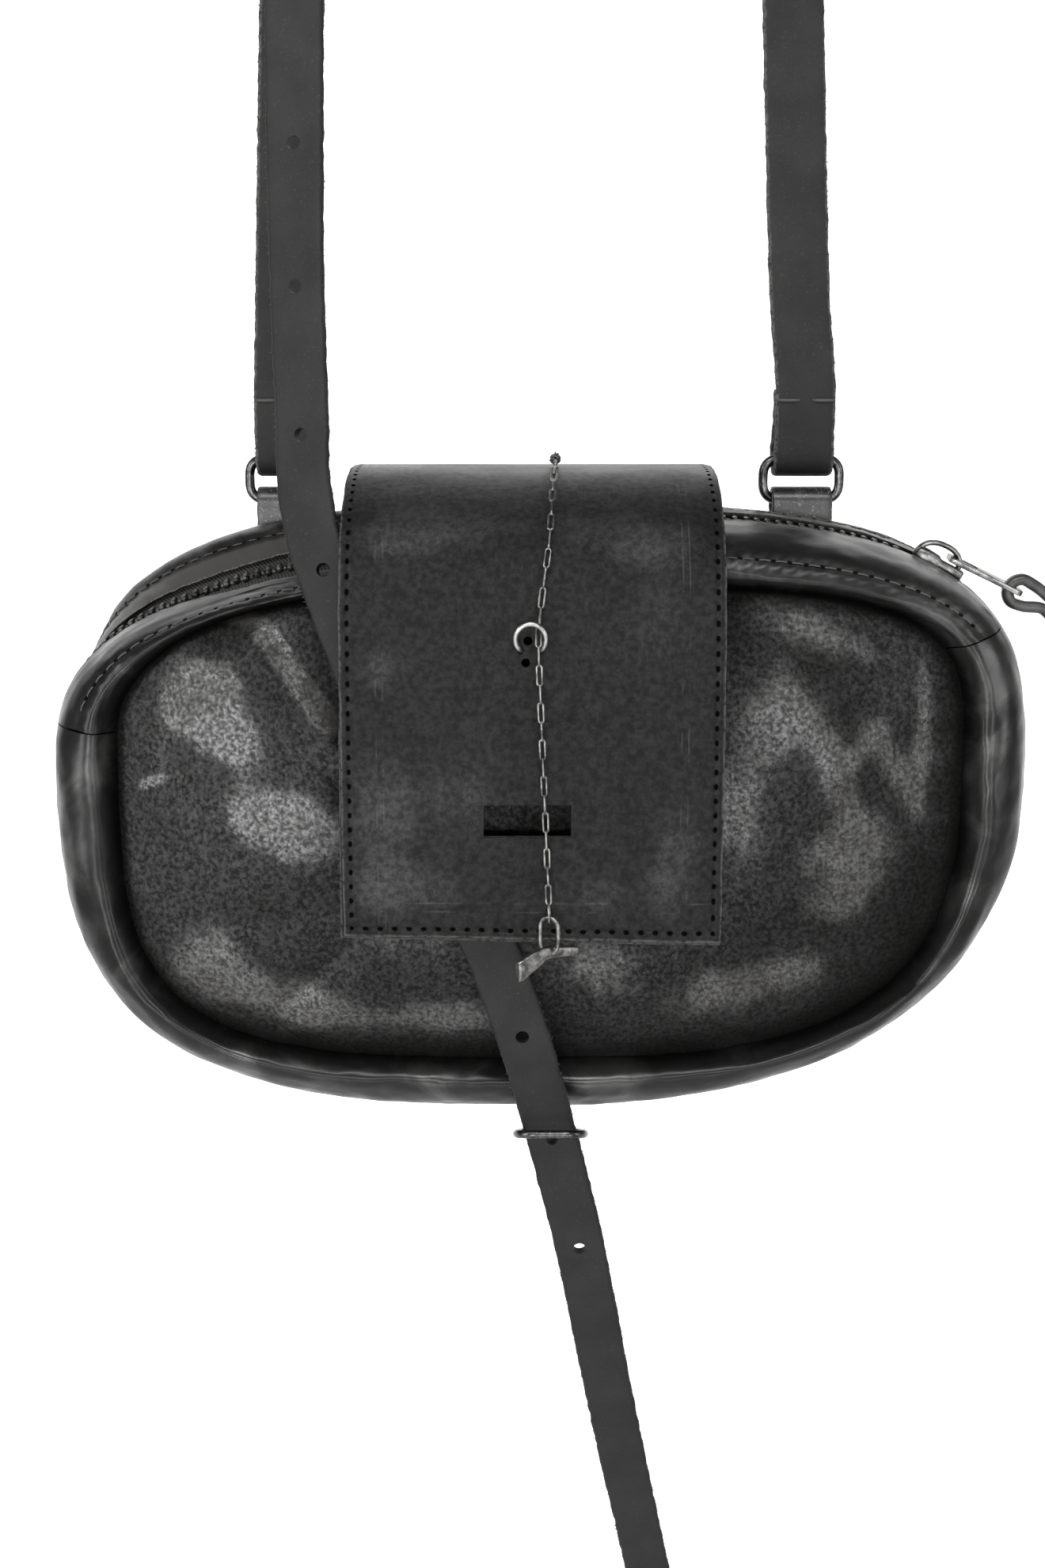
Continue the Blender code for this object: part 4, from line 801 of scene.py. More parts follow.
def band(width, wall, flats):
    """A strap's rounded cross section as pairs of (across, out), going round it."""
    radius = wall * 0.45
    half, top = width / 2, wall / 2
    points = [(-half + radius + (width - 2 * radius) * i / flats, top) for i in range(flats + 1)]
    for turn in (60, 30, 0, -30, -60):
        edge = (top - radius) * ((turn > 0) - (turn < 0))
        points.append((half - radius + radius * math.cos(math.radians(turn)),
                       edge + radius * math.sin(math.radians(turn))))
    return points + [(-a, -b) for a, b in points]


def strap_axes(places, i, turn):
    """A strap's directions at one of its places: ahead, across it and out of its face."""
    ahead = ahead_at(places, i)
    across = facing(turn)
    across = (across - ahead * across.dot(ahead)).normalized()
    return ahead, across, ahead.cross(across)


def strap(stations, widths, wall, flats, fray, seed):
    """A leather strap along stations of x, y, z and turn, with its cut edges a little uneven."""
    rows, runs, length = [], [], 0.0
    places = [Vector(row[:3]) for row in stations]
    for i, place in enumerate(places):
        _, across, out = strap_axes(places, i, stations[i][3])
        width = widths[i] if isinstance(widths, list) else widths
        length += (place - places[i - 1]).length if i else 0.0
        row, run = [], []
        for a, b in band(width, wall, flats):
            side = 1 if a > 0 else -1
            near_edge = ease(width / 2 - 1.2 * wall, width / 2, abs(a))
            rough = wave(length * 330, side * 9.0, 0, seed)
            rough += 0.6 * wave(length * 1100, side * 5.0, b * 900, seed)
            thick = 1 + 0.05 * wave(length * 140, a * 200, 0, seed + 1)
            row.append(place + across * (a + side * fray * near_edge * rough) + out * (b * thick))
            run.append((length, a))
        rows.append(row)
        runs.append(run)
    return sheet_data(rows, wrap=True, caps=True, runs=runs)


def feed(socket, value):
    """Give a shader input a number, a colour or another node's output. A number makes a grey colour."""
    if isinstance(value, Value):
        socket.id_data.links.new(value.socket, socket)
    elif socket.type == "RGBA":
        socket.default_value = (*value, 1.0) if isinstance(value, tuple) else (value, value, value, 1.0)
    else:
        socket.default_value = value


class Value:
    """The output of a shader node. Arithmetic on it adds the nodes that work out the result."""

    def __init__(self, socket):
        self.socket = socket

    def node(self, kind, inputs, **settings):
        """A shader node of the same material."""
        made = self.socket.id_data.nodes.new("ShaderNode" + kind)
        for key, value in settings.items():
            setattr(made, key, value)
        for name, value in inputs.items():
            feed(made.inputs[name], value)
        return made

    def of(self, kind, inputs, output=0, **settings):
        return Value(self.node(kind, inputs, **settings).outputs[output])

    def math(self, operation, *others):
        return self.of("Math", dict(enumerate((self, *others))), operation=operation)

    def __rsub__(self, number):
        return self.of("Math", {0: number, 1: self}, operation="SUBTRACT")

    def remap(self, low, high, to_low=0.0, to_high=1.0):
        """Go smoothly from to_low at low to to_high at high."""
        limits = {"Value": self, "From Min": low, "From Max": high, "To Min": to_low, "To Max": to_high}
        return self.of("MapRange", limits, interpolation_type="SMOOTHSTEP")

    def mix(self, a, b):
        """Blend two colours by this factor."""
        return self.of("Mix", {0: self, 6: a, 7: b}, 2, data_type="RGBA")

    def noise(self, scale, detail=3.0, roughness=0.55, distortion=0.0, output=0):
        """Cloudy noise at these coordinates."""
        inputs = {"Vector": self, "Scale": scale, "Detail": detail, "Roughness": roughness}
        return self.of("TexNoise", {**inputs, "Distortion": distortion}, output)

    def stretched(self, scale, turn=0.0):
        """The coordinates scaled, and turned about Y."""
        return self.of("Mapping", {0: self, 2: (0.0, turn, 0.0), 3: scale})

    def vector(self, operation, inputs, output=0):
        return self.of("VectorMath", {0: self, **inputs}, output, operation=operation)


for method, operation in (("__add__", "ADD"), ("__sub__", "SUBTRACT"), ("__mul__", "MULTIPLY"),
                          ("__truediv__", "DIVIDE"), ("__pow__", "POWER"), ("__abs__", "ABSOLUTE"),
                          ("least", "MINIMUM"), ("most", "MAXIMUM"), ("above", "GREATER_THAN"),
                          ("fraction", "FRACT"), ("sine", "SINE")):
    setattr(Value, method, partialmethod(Value.math, operation))


def pebbles(where, scale):
    """Leather grain: rounded cells of uneven size with creases between them."""
    sizes = where.noise(scale * 0.7, 1.0, 0.5, output="Color")
    swirl = where.noise(scale * 0.6, 1.0, 0.5, output="Color").vector("SCALE", {"Scale": 0.6 / scale})
    bent = where.vector("MULTIPLY_ADD", {1: sizes, 2: swirl})
    cells = {"Vector": bent, "Scale": scale, "Smoothness": 0.6}
    return where.of("TexVoronoi", cells, "Distance", feature="SMOOTH_F1")


def spots(where, table):
    """Soft round places from a table, added up."""
    total = None
    for _, x, z, wide, high, turn, strength in table:
        place = {1: (x * MM, 0.0, z * MM), 2: (0.0, math.radians(turn), 0.0), 3: (wide * MM, 1.0, high * MM)}
        spot = where.of("Mapping", {0: where, **place}, vector_type="TEXTURE")
        away = spot.vector("MULTIPLY", {1: (1.0, 0.0, 1.0)}).vector("LENGTH", {}, "Value")
        part = away.remap(1.25, 0.0, 0.0, strength)
        total = total + part if total else part
    return total


def sheen(where, table, scale):
    """A mask of shinier places of wear, which the looks also use for a painted highlight colour: soft spots
    from a table, broken up by mottling and fine scratches.
    """
    mottled = where.noise(scale, 6.0, 0.66, 0.8)
    scratched = where.stretched((1.0, 1.0, 0.22), 0.6).noise(scale * 2.6, 6.0, 0.74)
    broken = (mottled - 0.5) * 0.9 + (scratched - 0.5) * 0.8
    return (spots(where, table) + broken).remap(0.05, 1.35)


def glints(where, level, grain, scale, contrast=1.0):
    """Gloss that dies in the creases of the grain and sparkles unevenly on its domes."""
    creases = grain.remap(0.62, 0.30, 0.25, 1.25)
    sparkle = where.noise(scale, 3.0, 0.7).remap(0.32, 0.68, 0.55, 1.45)
    return level * ((creases * sparkle - 1.0) * contrast + 1.0).most(0.04)


def run_of(where):
    """The run coordinates: along the piece, and across it in metres or in rows of the rim."""
    parts = where.node("SeparateXYZ", {0: where.of("UVMap", {}, uv_map="run")})
    return Value(parts.outputs[0]), Value(parts.outputs[1])


def stitch_dots(along, off_line):
    """A row of stitch holes: 1 in a hole. off_line is the distance from the row's line."""
    phase = ((along / STITCH_PITCH).fraction() - 0.5) * STITCH_PITCH
    return ((phase / STITCH_HOLE[0]) ** 2.0 + (off_line / STITCH_HOLE[1]) ** 2.0).remap(1.4, 0.5)


# Each look gets the object coordinates. It returns its colour, roughness and gloss, and its bumps of
# (height, distance in metres, strength).

def panel_look(where):
    # Painted shade: soft spots in valleys, hollows and under the seams and the flap, which take away the
    # painted highlight colour and dull the gloss
    shaded = spots(where, PANEL_SHADE).least(1.0)
    wear_and_painted_sheen = (sheen(where, PANEL_SHEEN, 44.0) * 2.1).least(1.0) * (1.0 - shaded)
    grain = pebbles(where, 1050.0)
    # Painted highlight: the shinier places of wear also get a lighter colour, which the painted shade spots
    # take away again
    colour = wear_and_painted_sheen.mix((0.0042, 0.0040, 0.0038), (0.019, 0.018, 0.017))
    colour = (grain.remap(0.35, 0.75) * 0.6).mix(colour, 0.003)
    rough = where.noise(38.0, 4.0).remap(0.3, 0.7, 0.26, 0.34) - wear_and_painted_sheen * 0.06
    gloss = wear_and_painted_sheen.remap(0.0, 1.0, 0.33, 1.1) - shaded * 0.16
    return colour, rough, glints(where, gloss, grain, 700.0, 1.8), [
        (where.noise(36.0, 1.0, 0.5, 0.5), 0.0024, 0.8), (where.noise(150.0, 2.0), 0.00024, 0.6),
        (grain * -1.0, 0.000024, 0.8), (where.noise(2600.0, 1.0), 0.000002, 0.5)]


def rim_look(where):
    """The rim, whose rows count from the front seam. The strips beside the zip have raw lips."""
    along, row = run_of(where)
    large = where.noise(30.0, 5.0, 0.6, 0.8).remap(0.45, 0.72)
    fine = where.noise(420.0, 5.0, 0.7)
    # Painted shade: the colour goes near black and the gloss drops in the groove along the front seam
    groove = row.remap(0.62, 0.08) * row.remap(-0.5, -0.4)
    on_strip = along.above(-0.5)
    # Painted highlight: a lighter band on the back strip's rolled edge beside its lip
    band = row.remap(5.10, 5.22) * row.remap(5.56, 5.46) * on_strip
    from_lip = abs(row - 3.0).least(abs(row - 5.0))
    raw = from_lip.remap(0.20, 0.05) * where.noise(900.0).remap(0.25, 0.6) * on_strip
    colour = large.mix((0.0045, 0.0044, 0.0043), (0.013, 0.0125, 0.012))
    colour = fine.remap(0.64, 0.82, 0.0, 0.35).mix(colour, (0.06, 0.058, 0.056))
    colour = groove.mix(colour, 0.0015)
    colour = (band * 0.8).mix(colour, (0.045, 0.044, 0.042))
    colour = (raw * 0.8).mix(colour, (0.16, 0.155, 0.15))
    rough = where.noise(60.0, 4.0).remap(0.3, 0.7, 0.27, 0.40) + raw * 0.4
    return colour, rough, large.remap(0.0, 1.0, 0.22, 0.58) - groove * 0.2, [
        (where.noise(60.0, 2.0), 0.0009, 0.6), (fine, 0.000025, 0.5),
        (where.noise(1700.0, 1.0), 0.000006, 0.5)]


def flap_look(where):
    """The flap, with stitch holes and tooled lines along its edges."""
    along, across = run_of(where)
    wear_and_painted_sheen = sheen(where, FLAP_SHEEN, 34.0)
    grain = pebbles(where, 900.0)
    fine = where.stretched((1.0, 0.4, 0.4)).noise(1500.0, 3.0, 0.6)
    from_side = FLAP_WIDTH / 2 - abs(across)
    side_line = from_side - STITCH_INSET
    low_line = along - STITCH_INSET
    side_holes = stitch_dots(along, side_line) * along.above(STITCH_INSET * 0.8)
    holes = side_holes.most(stitch_dots(across, low_line) * from_side.above(STITCH_INSET * 0.8))
    near_line = abs(side_line).remap(0.0011, 0.0002).most(abs(low_line).remap(0.0011, 0.0002))
    tooled = None
    for offset, source in ((0.0105, from_side), (0.0125, from_side), (0.0075, along), (0.0100, along)):
        mark = abs(source - offset).remap(0.00035, 0.00005) * where.noise(110.0, 4.0).remap(0.48, 0.68)
        tooled = tooled.most(mark) if tooled else mark
    edge = from_side.remap(0.0008, 0.0).most(along.remap(0.0009, 0.0)) * where.noise(700.0).remap(0.3, 0.6)
    # Painted highlight: the shinier places of wear, the crest most, get a slightly lighter colour
    colour = wear_and_painted_sheen.mix((0.0048, 0.0046, 0.0048), (0.0085, 0.0082, 0.0083))
    colour = (grain.remap(0.4, 0.8) * 0.5).mix(colour, 0.005)
    colour = (tooled * 0.35).mix(colour, (0.060, 0.058, 0.056))
    # Painted shade: the stitch holes are near black, under the lighter cut edges
    colour = holes.mix((edge * 0.6).mix(colour, (0.085, 0.083, 0.08)), 0.0015)
    rough = where.noise(45.0, 4.0).remap(0.3, 0.7, 0.29, 0.37) + holes.most(edge) * 0.4
    gloss = glints(where, wear_and_painted_sheen.remap(0.0, 1.0, 0.19, 0.60), grain, 520.0)
    return colour, rough, gloss * (1.0 - holes), [
        (grain * -1.0, 0.000040, 0.8), (fine, 0.000004, 0.5), (1.0 - holes, 0.0007, 0.9),
        (1.0 - near_line, 0.0004, 0.5), (tooled, 0.00015, 0.6), (where.noise(48.0, 1.5), 0.0013, 0.6)]


def strap_look(where):
    across = run_of(where)[1]
    colour = where.noise(55.0, 5.0).remap(0.35, 0.7).mix((0.0060, 0.0060, 0.0059), (0.0105, 0.0103, 0.0101))
    speck = where.noise(1300.0, 4.0, 0.7)
    colour = speck.remap(0.56, 0.78, 0.0, 0.5).mix(colour, (0.050, 0.050, 0.049))
    colour = speck.remap(0.42, 0.25, 0.0, 0.6).mix(colour, 0.008)
    edge = abs(across).remap(0.0085, 0.0097) * where.noise(800.0).remap(0.3, 0.65)
    colour = (edge * 0.5).mix(colour, (0.15, 0.148, 0.145))
    return colour, 0.62, 0.20, [(speck, 0.00005, 0.5), (where.noise(230.0, 2.0), 0.00012, 0.4)]


def tab_look(where):
    colour = where.noise(300.0, 4.0).remap(0.45, 0.7).mix(0.007, (0.026, 0.0255, 0.025))
    colour = (where.noise(1500.0, 2.0).remap(0.60, 0.70) * 0.6).mix(colour, (0.22, 0.22, 0.215))
    return colour, 0.36, 0.5, [(where.noise(900.0, 2.0), 0.00006, 0.6)]


def thong_look(where):
    colour = where.noise(160.0, 4.0).remap(0.4, 0.7).mix(0.012, (0.040, 0.039, 0.038))
    return colour, 0.40, 0.5, [(where.noise(700.0), 0.00005, 0.5)]


def tape_look(where):
    ribs = (run_of(where)[0] * (2 * math.pi / TAPE_RIB)).sine() * 0.5 + 0.5
    colour = ribs.mix((0.006, 0.0058, 0.0057), (0.026, 0.0245, 0.0235))
    return colour, 0.85, 0.5, [(ribs, 0.0003, 0.8), (where.noise(2200.0, 2.0), 0.0002, 0.5)]


def thread_look(where):
    colour = where.noise(1600.0).mix(0.016, (0.06, 0.06, 0.058))
    return colour, 0.8, 0.5, [(where.noise(5000.0, 2.0), 0.0001, 0.5)]


# Painted shade: the near-black blocks at the rim's stitch holes stand for the shade inside them
def hole_shade_look(where):
    return where.noise(900.0).mix(0.001, 0.003), 0.9, 0.05, []


def metal_look(low, high, rough_low, rough_high):
    def metal(where):
        marks = where.stretched((1.0, 1.0, 0.12)).noise(2600.0)
        colour = where.noise(260.0, 5.0, 0.65).remap(0.36, 0.66).mix(low, high)
        return colour, marks.remap(0.3, 0.7, rough_low, rough_high), 0.5, [
            (marks, 0.000015, 0.5), (where.noise(700.0, 1.5), 0.00008, 0.5)]
    return metal


def studio_look(where):
    return where.noise(0.6, 1.0).mix(0.78, 0.82), 0.9, 0.5, []


LOOK_TABLE = (
    # name, look, share of metal
    ("panel_leather", panel_look, 0.0),
    ("rim_leather", rim_look, 0.0),
    ("flap_leather", flap_look, 0.0),
    ("strap_leather", strap_look, 0.0),
    ("tab_leather", tab_look, 0.0),
    ("thong_leather", thong_look, 0.0),
    ("zip_tape", tape_look, 0.0),
    ("thread", thread_look, 0.0),
    ("stitch_hole_shade", hole_shade_look, 0.0),
    ("dark_metal", metal_look((0.035, 0.035, 0.036), 0.12, 0.22, 0.40), 1.0),
    ("teeth_metal", metal_look(0.020, (0.085, 0.083, 0.08), 0.28, 0.50), 1.0),
    ("slider_metal", metal_look(0.07, (0.24, 0.24, 0.235), 0.30, 0.46), 1.0),
    ("pull_metal", metal_look(0.09, (0.30, 0.30, 0.295), 0.28, 0.42), 1.0),
    ("grey_metal", metal_look((0.06, 0.06, 0.058), (0.27, 0.265, 0.255), 0.30, 0.50), 1.0),
    ("bright_metal", metal_look((0.22, 0.22, 0.215), (0.42, 0.415, 0.40), 0.26, 0.42), 1.0),
    ("studio_white", studio_look, 0.0),
)


def build_looks():
    """Every procedural material by its name."""
    made = {}
    for name, look, metal in LOOK_TABLE:
        material = bpy.data.materials.new(name)
        material.use_nodes = True
        nodes = material.node_tree.nodes
        inputs = nodes["Principled BSDF"].inputs
        where = Value(nodes.new("ShaderNodeTexCoord").outputs["Object"])
        colour, rough, gloss, bumps = look(where)
        for socket, value in (("Base Color", colour), ("Roughness", rough), ("Specular IOR Level", gloss),
                              ("Metallic", metal)):
            feed(inputs[socket], value)
        normal = {}
        for height, distance, strength in bumps:
            bump = {"Height": height, "Distance": distance, "Strength": strength, **normal}
            normal = {"Normal": where.of("Bump", bump)}
        if bumps:
            feed(inputs["Normal"], normal["Normal"])
        made[name] = material
    # The last look is the studio's, which glows more towards the wall
    depth = Value(where.node("SeparateXYZ", {0: where}).outputs[1])
    feed(inputs["Emission Color"], 1.0)
    feed(inputs["Emission Strength"], depth.remap(0.1, 1.1, 0.04, 0.90))
    return made


LOOKS = build_looks()


def folds_at(x, z, table):
    """How far a table of folds pushes the front panel out, for arrays of places."""
    total = np.zeros_like(x)
    for _, x_1, z_1, x_2, z_2, width, height in table:
        start = np.array((x_1 * SEAM_HALF_WIDTH, z_1 * SEAM_DROP))
        step = np.array((x_2 * SEAM_HALF_WIDTH, z_2 * SEAM_DROP)) - start
        along = np.clip(((x - start[0]) * step[0] + (z - start[1]) * step[1]) / (step @ step), 0, 1)
        away = np.hypot(x - start[0] - along * step[0], z - start[1] - along * step[1])
        total += height * np.exp(-(away / (width * SEAM_HALF_WIDTH)) ** 2)
    return total


def dense_panel(side):
    """The front or back panel as a dense surface, gathered a little along its seam."""
    angles = np.arange(0, 360, PANEL_STEP)
    shares = 1 - (np.linspace(0, 1, PANEL_ROWS) ** 1.15) * 0.995
    edge = np.array([rim_point(float(angle), 0 if side < 0 else 8) for angle in angles])
    reach = np.hypot(edge[:, 0], edge[:, 2])
    share = shares[:, None]
    scale = share * ((reach + EDGE_TUCK) / reach)[None, :]
    x, z = edge[None, :, 0] * scale, edge[None, :, 2] * scale
    base = np.abs(edge[None, :, 1])
    face, power = (FRONT_FACE, FRONT_FLATNESS) if side < 0 else (BACK_FACE, BACK_FLATNESS)
    y = base + (face - base) * (1 - share ** power) - EDGE_TUCK * np.exp(-((1 - share) / 0.010) ** 2)
    inner = np.clip((1 - share) / 0.2, 0, 1)
    inner = inner * inner * (3 - 2 * inner)
    if side < 0:
        y = y + (folds_at(x, z, FOLDS) + folds_at(x, z, CREASES)) * inner
    ripple = np.empty_like(x)
    for (i, j), a in np.ndenumerate(x):
        b = z[i, j]
        gather = PANEL_GATHER * math.exp(-((1 - shares[i]) / 0.07) ** 2)
        soft = waves(a, b, PANEL_WAVES, side)
        ripple[i, j] = soft * inner[i, 0] + gather * wave(angles[j] * 0.33, side * 4.0, 0, 5)
    rows = np.stack([x, side * (y + ripple), z], axis=-1)
    return sheet_data(rows, wrap=True, runs=np.stack([x, z], axis=-1), flip=side > 0)


def rim_strip(angles, rows, swell, wall=WALL, depth=0.0, lip=0.0, drawn=None, plain=False):
    """A strip of the rim as closed sections: its outer face, its edges and its inner face.

    lip is how uneven its edge beside the zip is, and drawn tells how far that edge is drawn back. A plain
    strip counts its run backwards from -1, which keeps the look of the raw lips off it.
    """
    sections, runs, length, before = [], [], 0.0, None
    inner = rows[::-1][:: max(1, len(rows) // 8)]
    for angle in map(float, angles):
        middle = rim_point(angle, 4)
        length += (middle - before).length if before else 0.0
        before = middle
        back = drawn(angle) if drawn else 0.0
        shift = lip * waves(length, rows[-1], LIP_WAVES)
        section, run = [], []
        for row in rows:
            near = ease(0.5, 0.1, min(abs(row - 3), abs(row - 5)))
            here = row + near * shift * (1 if row < 4 else -1) - back * ease(*DRAWN_ROWS, row)
            section.append(rim_point(angle, here, depth - swell(length, row)))
            run.append((-1 - length if plain else length, row))
        for row in inner:
            section.append(rim_point(angle, row - back * ease(*DRAWN_ROWS, row), depth + wall))
            run.append((length, row))
        sections.append(section)
        runs.append(run)
    return sheet_data(sections, wrap=True, caps=True, runs=runs)


def lip_drawn(angle):
    """How far, in rows, the front strip's lip is drawn back, so that the zip shows at the left."""
    return 0.62 * ease(100.0, 122.0, angle) * ease(164.0, 148.0, angle) + 0.12 * wave(angle * 0.09, 3.0, 0, 9)


def swell_with(stitch_row):
    """The unevenness of a rim strip: soft waves, and a puckered groove along its stitches."""
    def swell(length, row):
        soft = waves(length, row, RIM_WAVES) * ease(0.0, 0.5, row) * ease(8.0, 7.5, row)
        if stitch_row is None:
            return soft
        away = row - stitch_row
        groove = SEAM_GROOVE * math.exp(-(away / 0.10) ** 2)
        pucker = SEAM_PUCKER * math.cos(2 * math.pi * length / SEAM_PITCH) * math.exp(-(away / 0.28) ** 2)
        return soft - groove + pucker
    return swell


def seam_stitches(angles, row, diameter, depth):
    """Stitches along a row of the rim, which dive into the leather at their ends, and near-black blocks at
    their holes that paint the shade inside them.
    """
    path = [rim_point(float(angle), row, depth) for angle in angles]
    length = np.cumsum([0.0] + [(b - a).length for a, b in zip(path, path[1:])])
    path = np.array(path)
    below = np.array([rim_point(float(angle), row, depth + 0.002) for angle in angles])
    threads, holes = [], []
    for n in range(int(length[-1] / SEAM_PITCH)):
        points = []
        for share, sunk in ((0.06, 1.0), (0.18, 0.2), (0.45, -0.25), (0.72, 0.2), (0.84, 1.0)):
            at = (n + share) * SEAM_PITCH
            spot = [np.interp(at, length, path[:, k]) for k in range(3)]
            down = Vector([np.interp(at, length, below[:, k]) - spot[k] for k in range(3)]).normalized()
            points.append(Vector(spot) + down * diameter * sunk)
        threads.append(tube(points, diameter * (1 + 0.1 * wave(n * 0.7, 0, 0)), 6))
        ahead = (points[-1] - points[0]).normalized()
        foot = points[0] - ahead * (SEAM_PITCH * 0.10) - down * diameter
        holes.append(block_data(foot, ahead, ahead.cross(-down), -down, SEAM_PITCH * 0.13, diameter * 0.9,
                                diameter * 0.3))
    return threads, holes


def build_body():
    """The two panels, the rim with its seams, and the zip's strips."""
    for name, side in (("front_panel", -1), ("back_panel", 1)):
        piece(name + "_dense", [dense_panel(side)], "panel_leather", [name], crease=180)
    low, high = RIGHT_CROSS_SEAM, LEFT_CROSS_SEAM
    draw = math.degrees(CROSS_SEAM_GAP / HALF_WIDTH)
    around = np.arange(high - 360 + draw, low - draw, GUSSET_STEP)
    gusset = rim_strip(around, list(np.linspace(0, 8, 61)), swell_with(None), plain=True)
    piece("gusset_dense", [gusset], "rim_leather", ["gusset_bottom"])
    top = np.arange(low + draw, high - draw, STRIP_STEP)
    front = rim_strip(top, list(np.linspace(0, FRONT_LIP_ROW, 34)), swell_with(FRONT_STITCH_ROW), lip=0.07,
                      drawn=lip_drawn)
    back = rim_strip(top, list(np.linspace(BACK_LIP_ROW, 8, 34)), swell_with(BACK_STITCH_ROW), lip=0.03)
    piece("strip_front_dense", [front], "rim_leather", ["zip_strip_front"])
    piece("strip_back_dense", [back], "rim_leather", ["zip_strip_back"])
    front_threads, front_holes = seam_stitches(top[6:-6], FRONT_STITCH_ROW, FRONT_THREAD, 0.0)
    back_threads, back_holes = seam_stitches(top[6:-6], BACK_STITCH_ROW, BACK_THREAD, 0.0002)
    # Painted shade: near-black blocks in the rim's stitch holes
    holes = piece("rim_stitch_holes", front_holes + back_holes, "stitch_hole_shade", crease=180)
    threads = piece("rim_stitches", front_threads + back_threads, "thread", crease=180)


# The two blocks of a tooth: how far it lies along the zip in pitches, its lift in metres, its half length in
# pitches, its half width in tooth lengths and its half height in metres
TOOTH = ((0, 0.0010, 0.27, 0.54, 0.0011), (0.5, 0.0004, 0.26, 0.24, 0.0008))


def build_zip():
    """The ribbed tape and the single teeth."""
    lap = math.degrees(TAPE_LAP / HALF_WIDTH)
    angles = np.arange(RIGHT_CROSS_SEAM - lap, LEFT_CROSS_SEAM + lap, TAPE_STEP)
    tape = rim_strip(angles, list(np.linspace(*TAPE_ROWS, 29)),
                     lambda length, row: waves(length, row, TAPE_WAVES), TAPE_WALL, WALL + 2 * JOIN_GAP)
    piece("tape_dense", [tape], "zip_tape", ["zipper_tape"])
    teeth, side = [], -1
    angle = LEFT_CROSS_SEAM - FIRST_TOOTH
    last = SLIDER_ANGLE + math.degrees(SLIDER_LENGTH / 2 / HALF_WIDTH) + LAST_TOOTH
    while angle > last:
        place, along, across, out = zip_frame(angle)
        foot = place - out * (WALL + JOIN_GAP) + across * (side * TOOTH_STAGGER)
        for on, lift, long, wide, high in TOOTH:
            teeth.append(block_data(foot + out * lift + along * (TOOTH_PITCH * on), along, across, out,
                                    TOOTH_PITCH * long, TOOTH_LENGTH * wide, high))
        angle = zip_angle(angle, TOOTH_PITCH)
        side = -side
    piece("teeth_dense", teeth, "teeth_metal", ["zipper_teeth"])


def squared_ring(centre, a, b, count, power, start=0.5, rough=None):
    """A closed section: an ellipse with a and b as its half axes, and squarer with a higher power."""
    ring = []
    for i in range(count):
        turn = 2 * math.pi * (i + start) / count
        x, y = math.cos(turn), math.sin(turn)
        reach = (abs(x) ** power + abs(y) ** power) ** (-1 / power) * (rough(x, y) if rough else 1)
        ring.append(centre + a * (x * reach) + b * (y * reach))
    return ring


def block_data(centre, a, b, c, size_a, size_b, size_c):
    """A block with rounded edges: half sizes along three directions."""
    rings = []
    for level, share in ((-1.0, 0.55), (-0.86, 0.88), (-0.5, 1.0), (0.5, 1.0), (0.86, 0.88), (1.0, 0.55)):
        rings.append(squared_ring(centre + c * (size_c * level), a * (size_a * share),
                                  b * (size_b * (0.3 + 0.7 * share)), 12, 5.0))
    return sheet_data(rings, wrap=True, caps=True)


# The slider from its narrow end: share of its length, then its width and height as shares
SLIDER_BODY = ((-0.5, 0.50, 0.45), (-0.485, 0.66, 0.75), (-0.44, 0.80, 1.1), (-0.30, 0.95, 1.28),
               (-0.12, 1.0, 1.24), (0.02, 1.0, 0.84), (0.36, 0.82, 0.84), (0.46, 0.66, 0.80),
               (0.49, 0.56, 0.7), (0.5, 0.44, 0.4))
# The crown's arch over the pull, in shares of its foot's distance from the middle and of its height
CROWN = ((-1.30, -0.05), (-1.24, 0.30), (-1.02, 0.66), (-0.62, 0.90), (-0.10, 1.0), (0.42, 0.97),
         (0.80, 0.78), (1.02, 0.42), (1.10, -0.05))
CROWN_FOOT = SLIDER_LENGTH * 0.36
# The pull's outline: shares of its length and of its half width
PULL_OUTLINE = ((0.0, 0.80), (0.04, 0.95), (0.10, 1.0), (0.35, 0.93), (0.55, 0.92), (0.75, 0.97), (0.88, 1.0),
                (0.96, 0.92), (1.0, 0.66))
# One side of the pull's section: whether a point is on the outer edge, how far inside it, and its height
PULL_SECTION = ((0, 0, -1), (0, 0, 1), (1, 0.0004, 1), (1, 0.0001, 0.75), (1, 0, 0), (1, 0.0001, -0.75),
                (1, 0.0004, -1))


def build_slider():
    """The slider with its arched crown, which the pull hangs under."""
    place, along, across, out = zip_frame(SLIDER_ANGLE)
    floor = place + out * JOIN_GAP
    body = []
    for share, width, height in smooth_path(SLIDER_BODY, 0.03):
        centre = floor + along * (SLIDER_LENGTH * share) + out * (JOIN_GAP / 2)
        body.append(squared_ring(centre, across * (SLIDER_WIDTH / 2 * width),
                                 out * ((SLIDER_HEIGHT + WALL) / 2 * height), 28, 3.6))
    top = SLIDER_HEIGHT + PULL_WALL + PULL_WIRE + 3 * JOIN_GAP
    arch = [floor + along * (CROWN_FOOT * share) + out * (top * height) for share, height in CROWN]
    arch = [Vector(row) for row in smooth_path(arch, 0.0005)]
    crown = []
    for i, point in enumerate(arch):
        up = ahead_at(arch, i).cross(across).normalized()
        share = abs(2 * i / (len(arch) - 1) - 1)
        half = PULL_WIRE * (0.90 + 0.20 * share * share)
        crown.append(squared_ring(point, across * half, up * (PULL_WIRE * 0.56), 14, 2.0, 0))
    parts = [sheet_data(rings, wrap=True, caps=True) for rings in (body, crown)]
    piece("slider_dense", parts, "slider_metal", ["zip_slider"])
    build_pull(floor + along * (CROWN_FOOT * 0.45) + out * (SLIDER_HEIGHT + PULL_WALL / 2 + 2 * JOIN_GAP),
               math.atan2(along.z, along.x) + math.radians(PULL_LIFT))


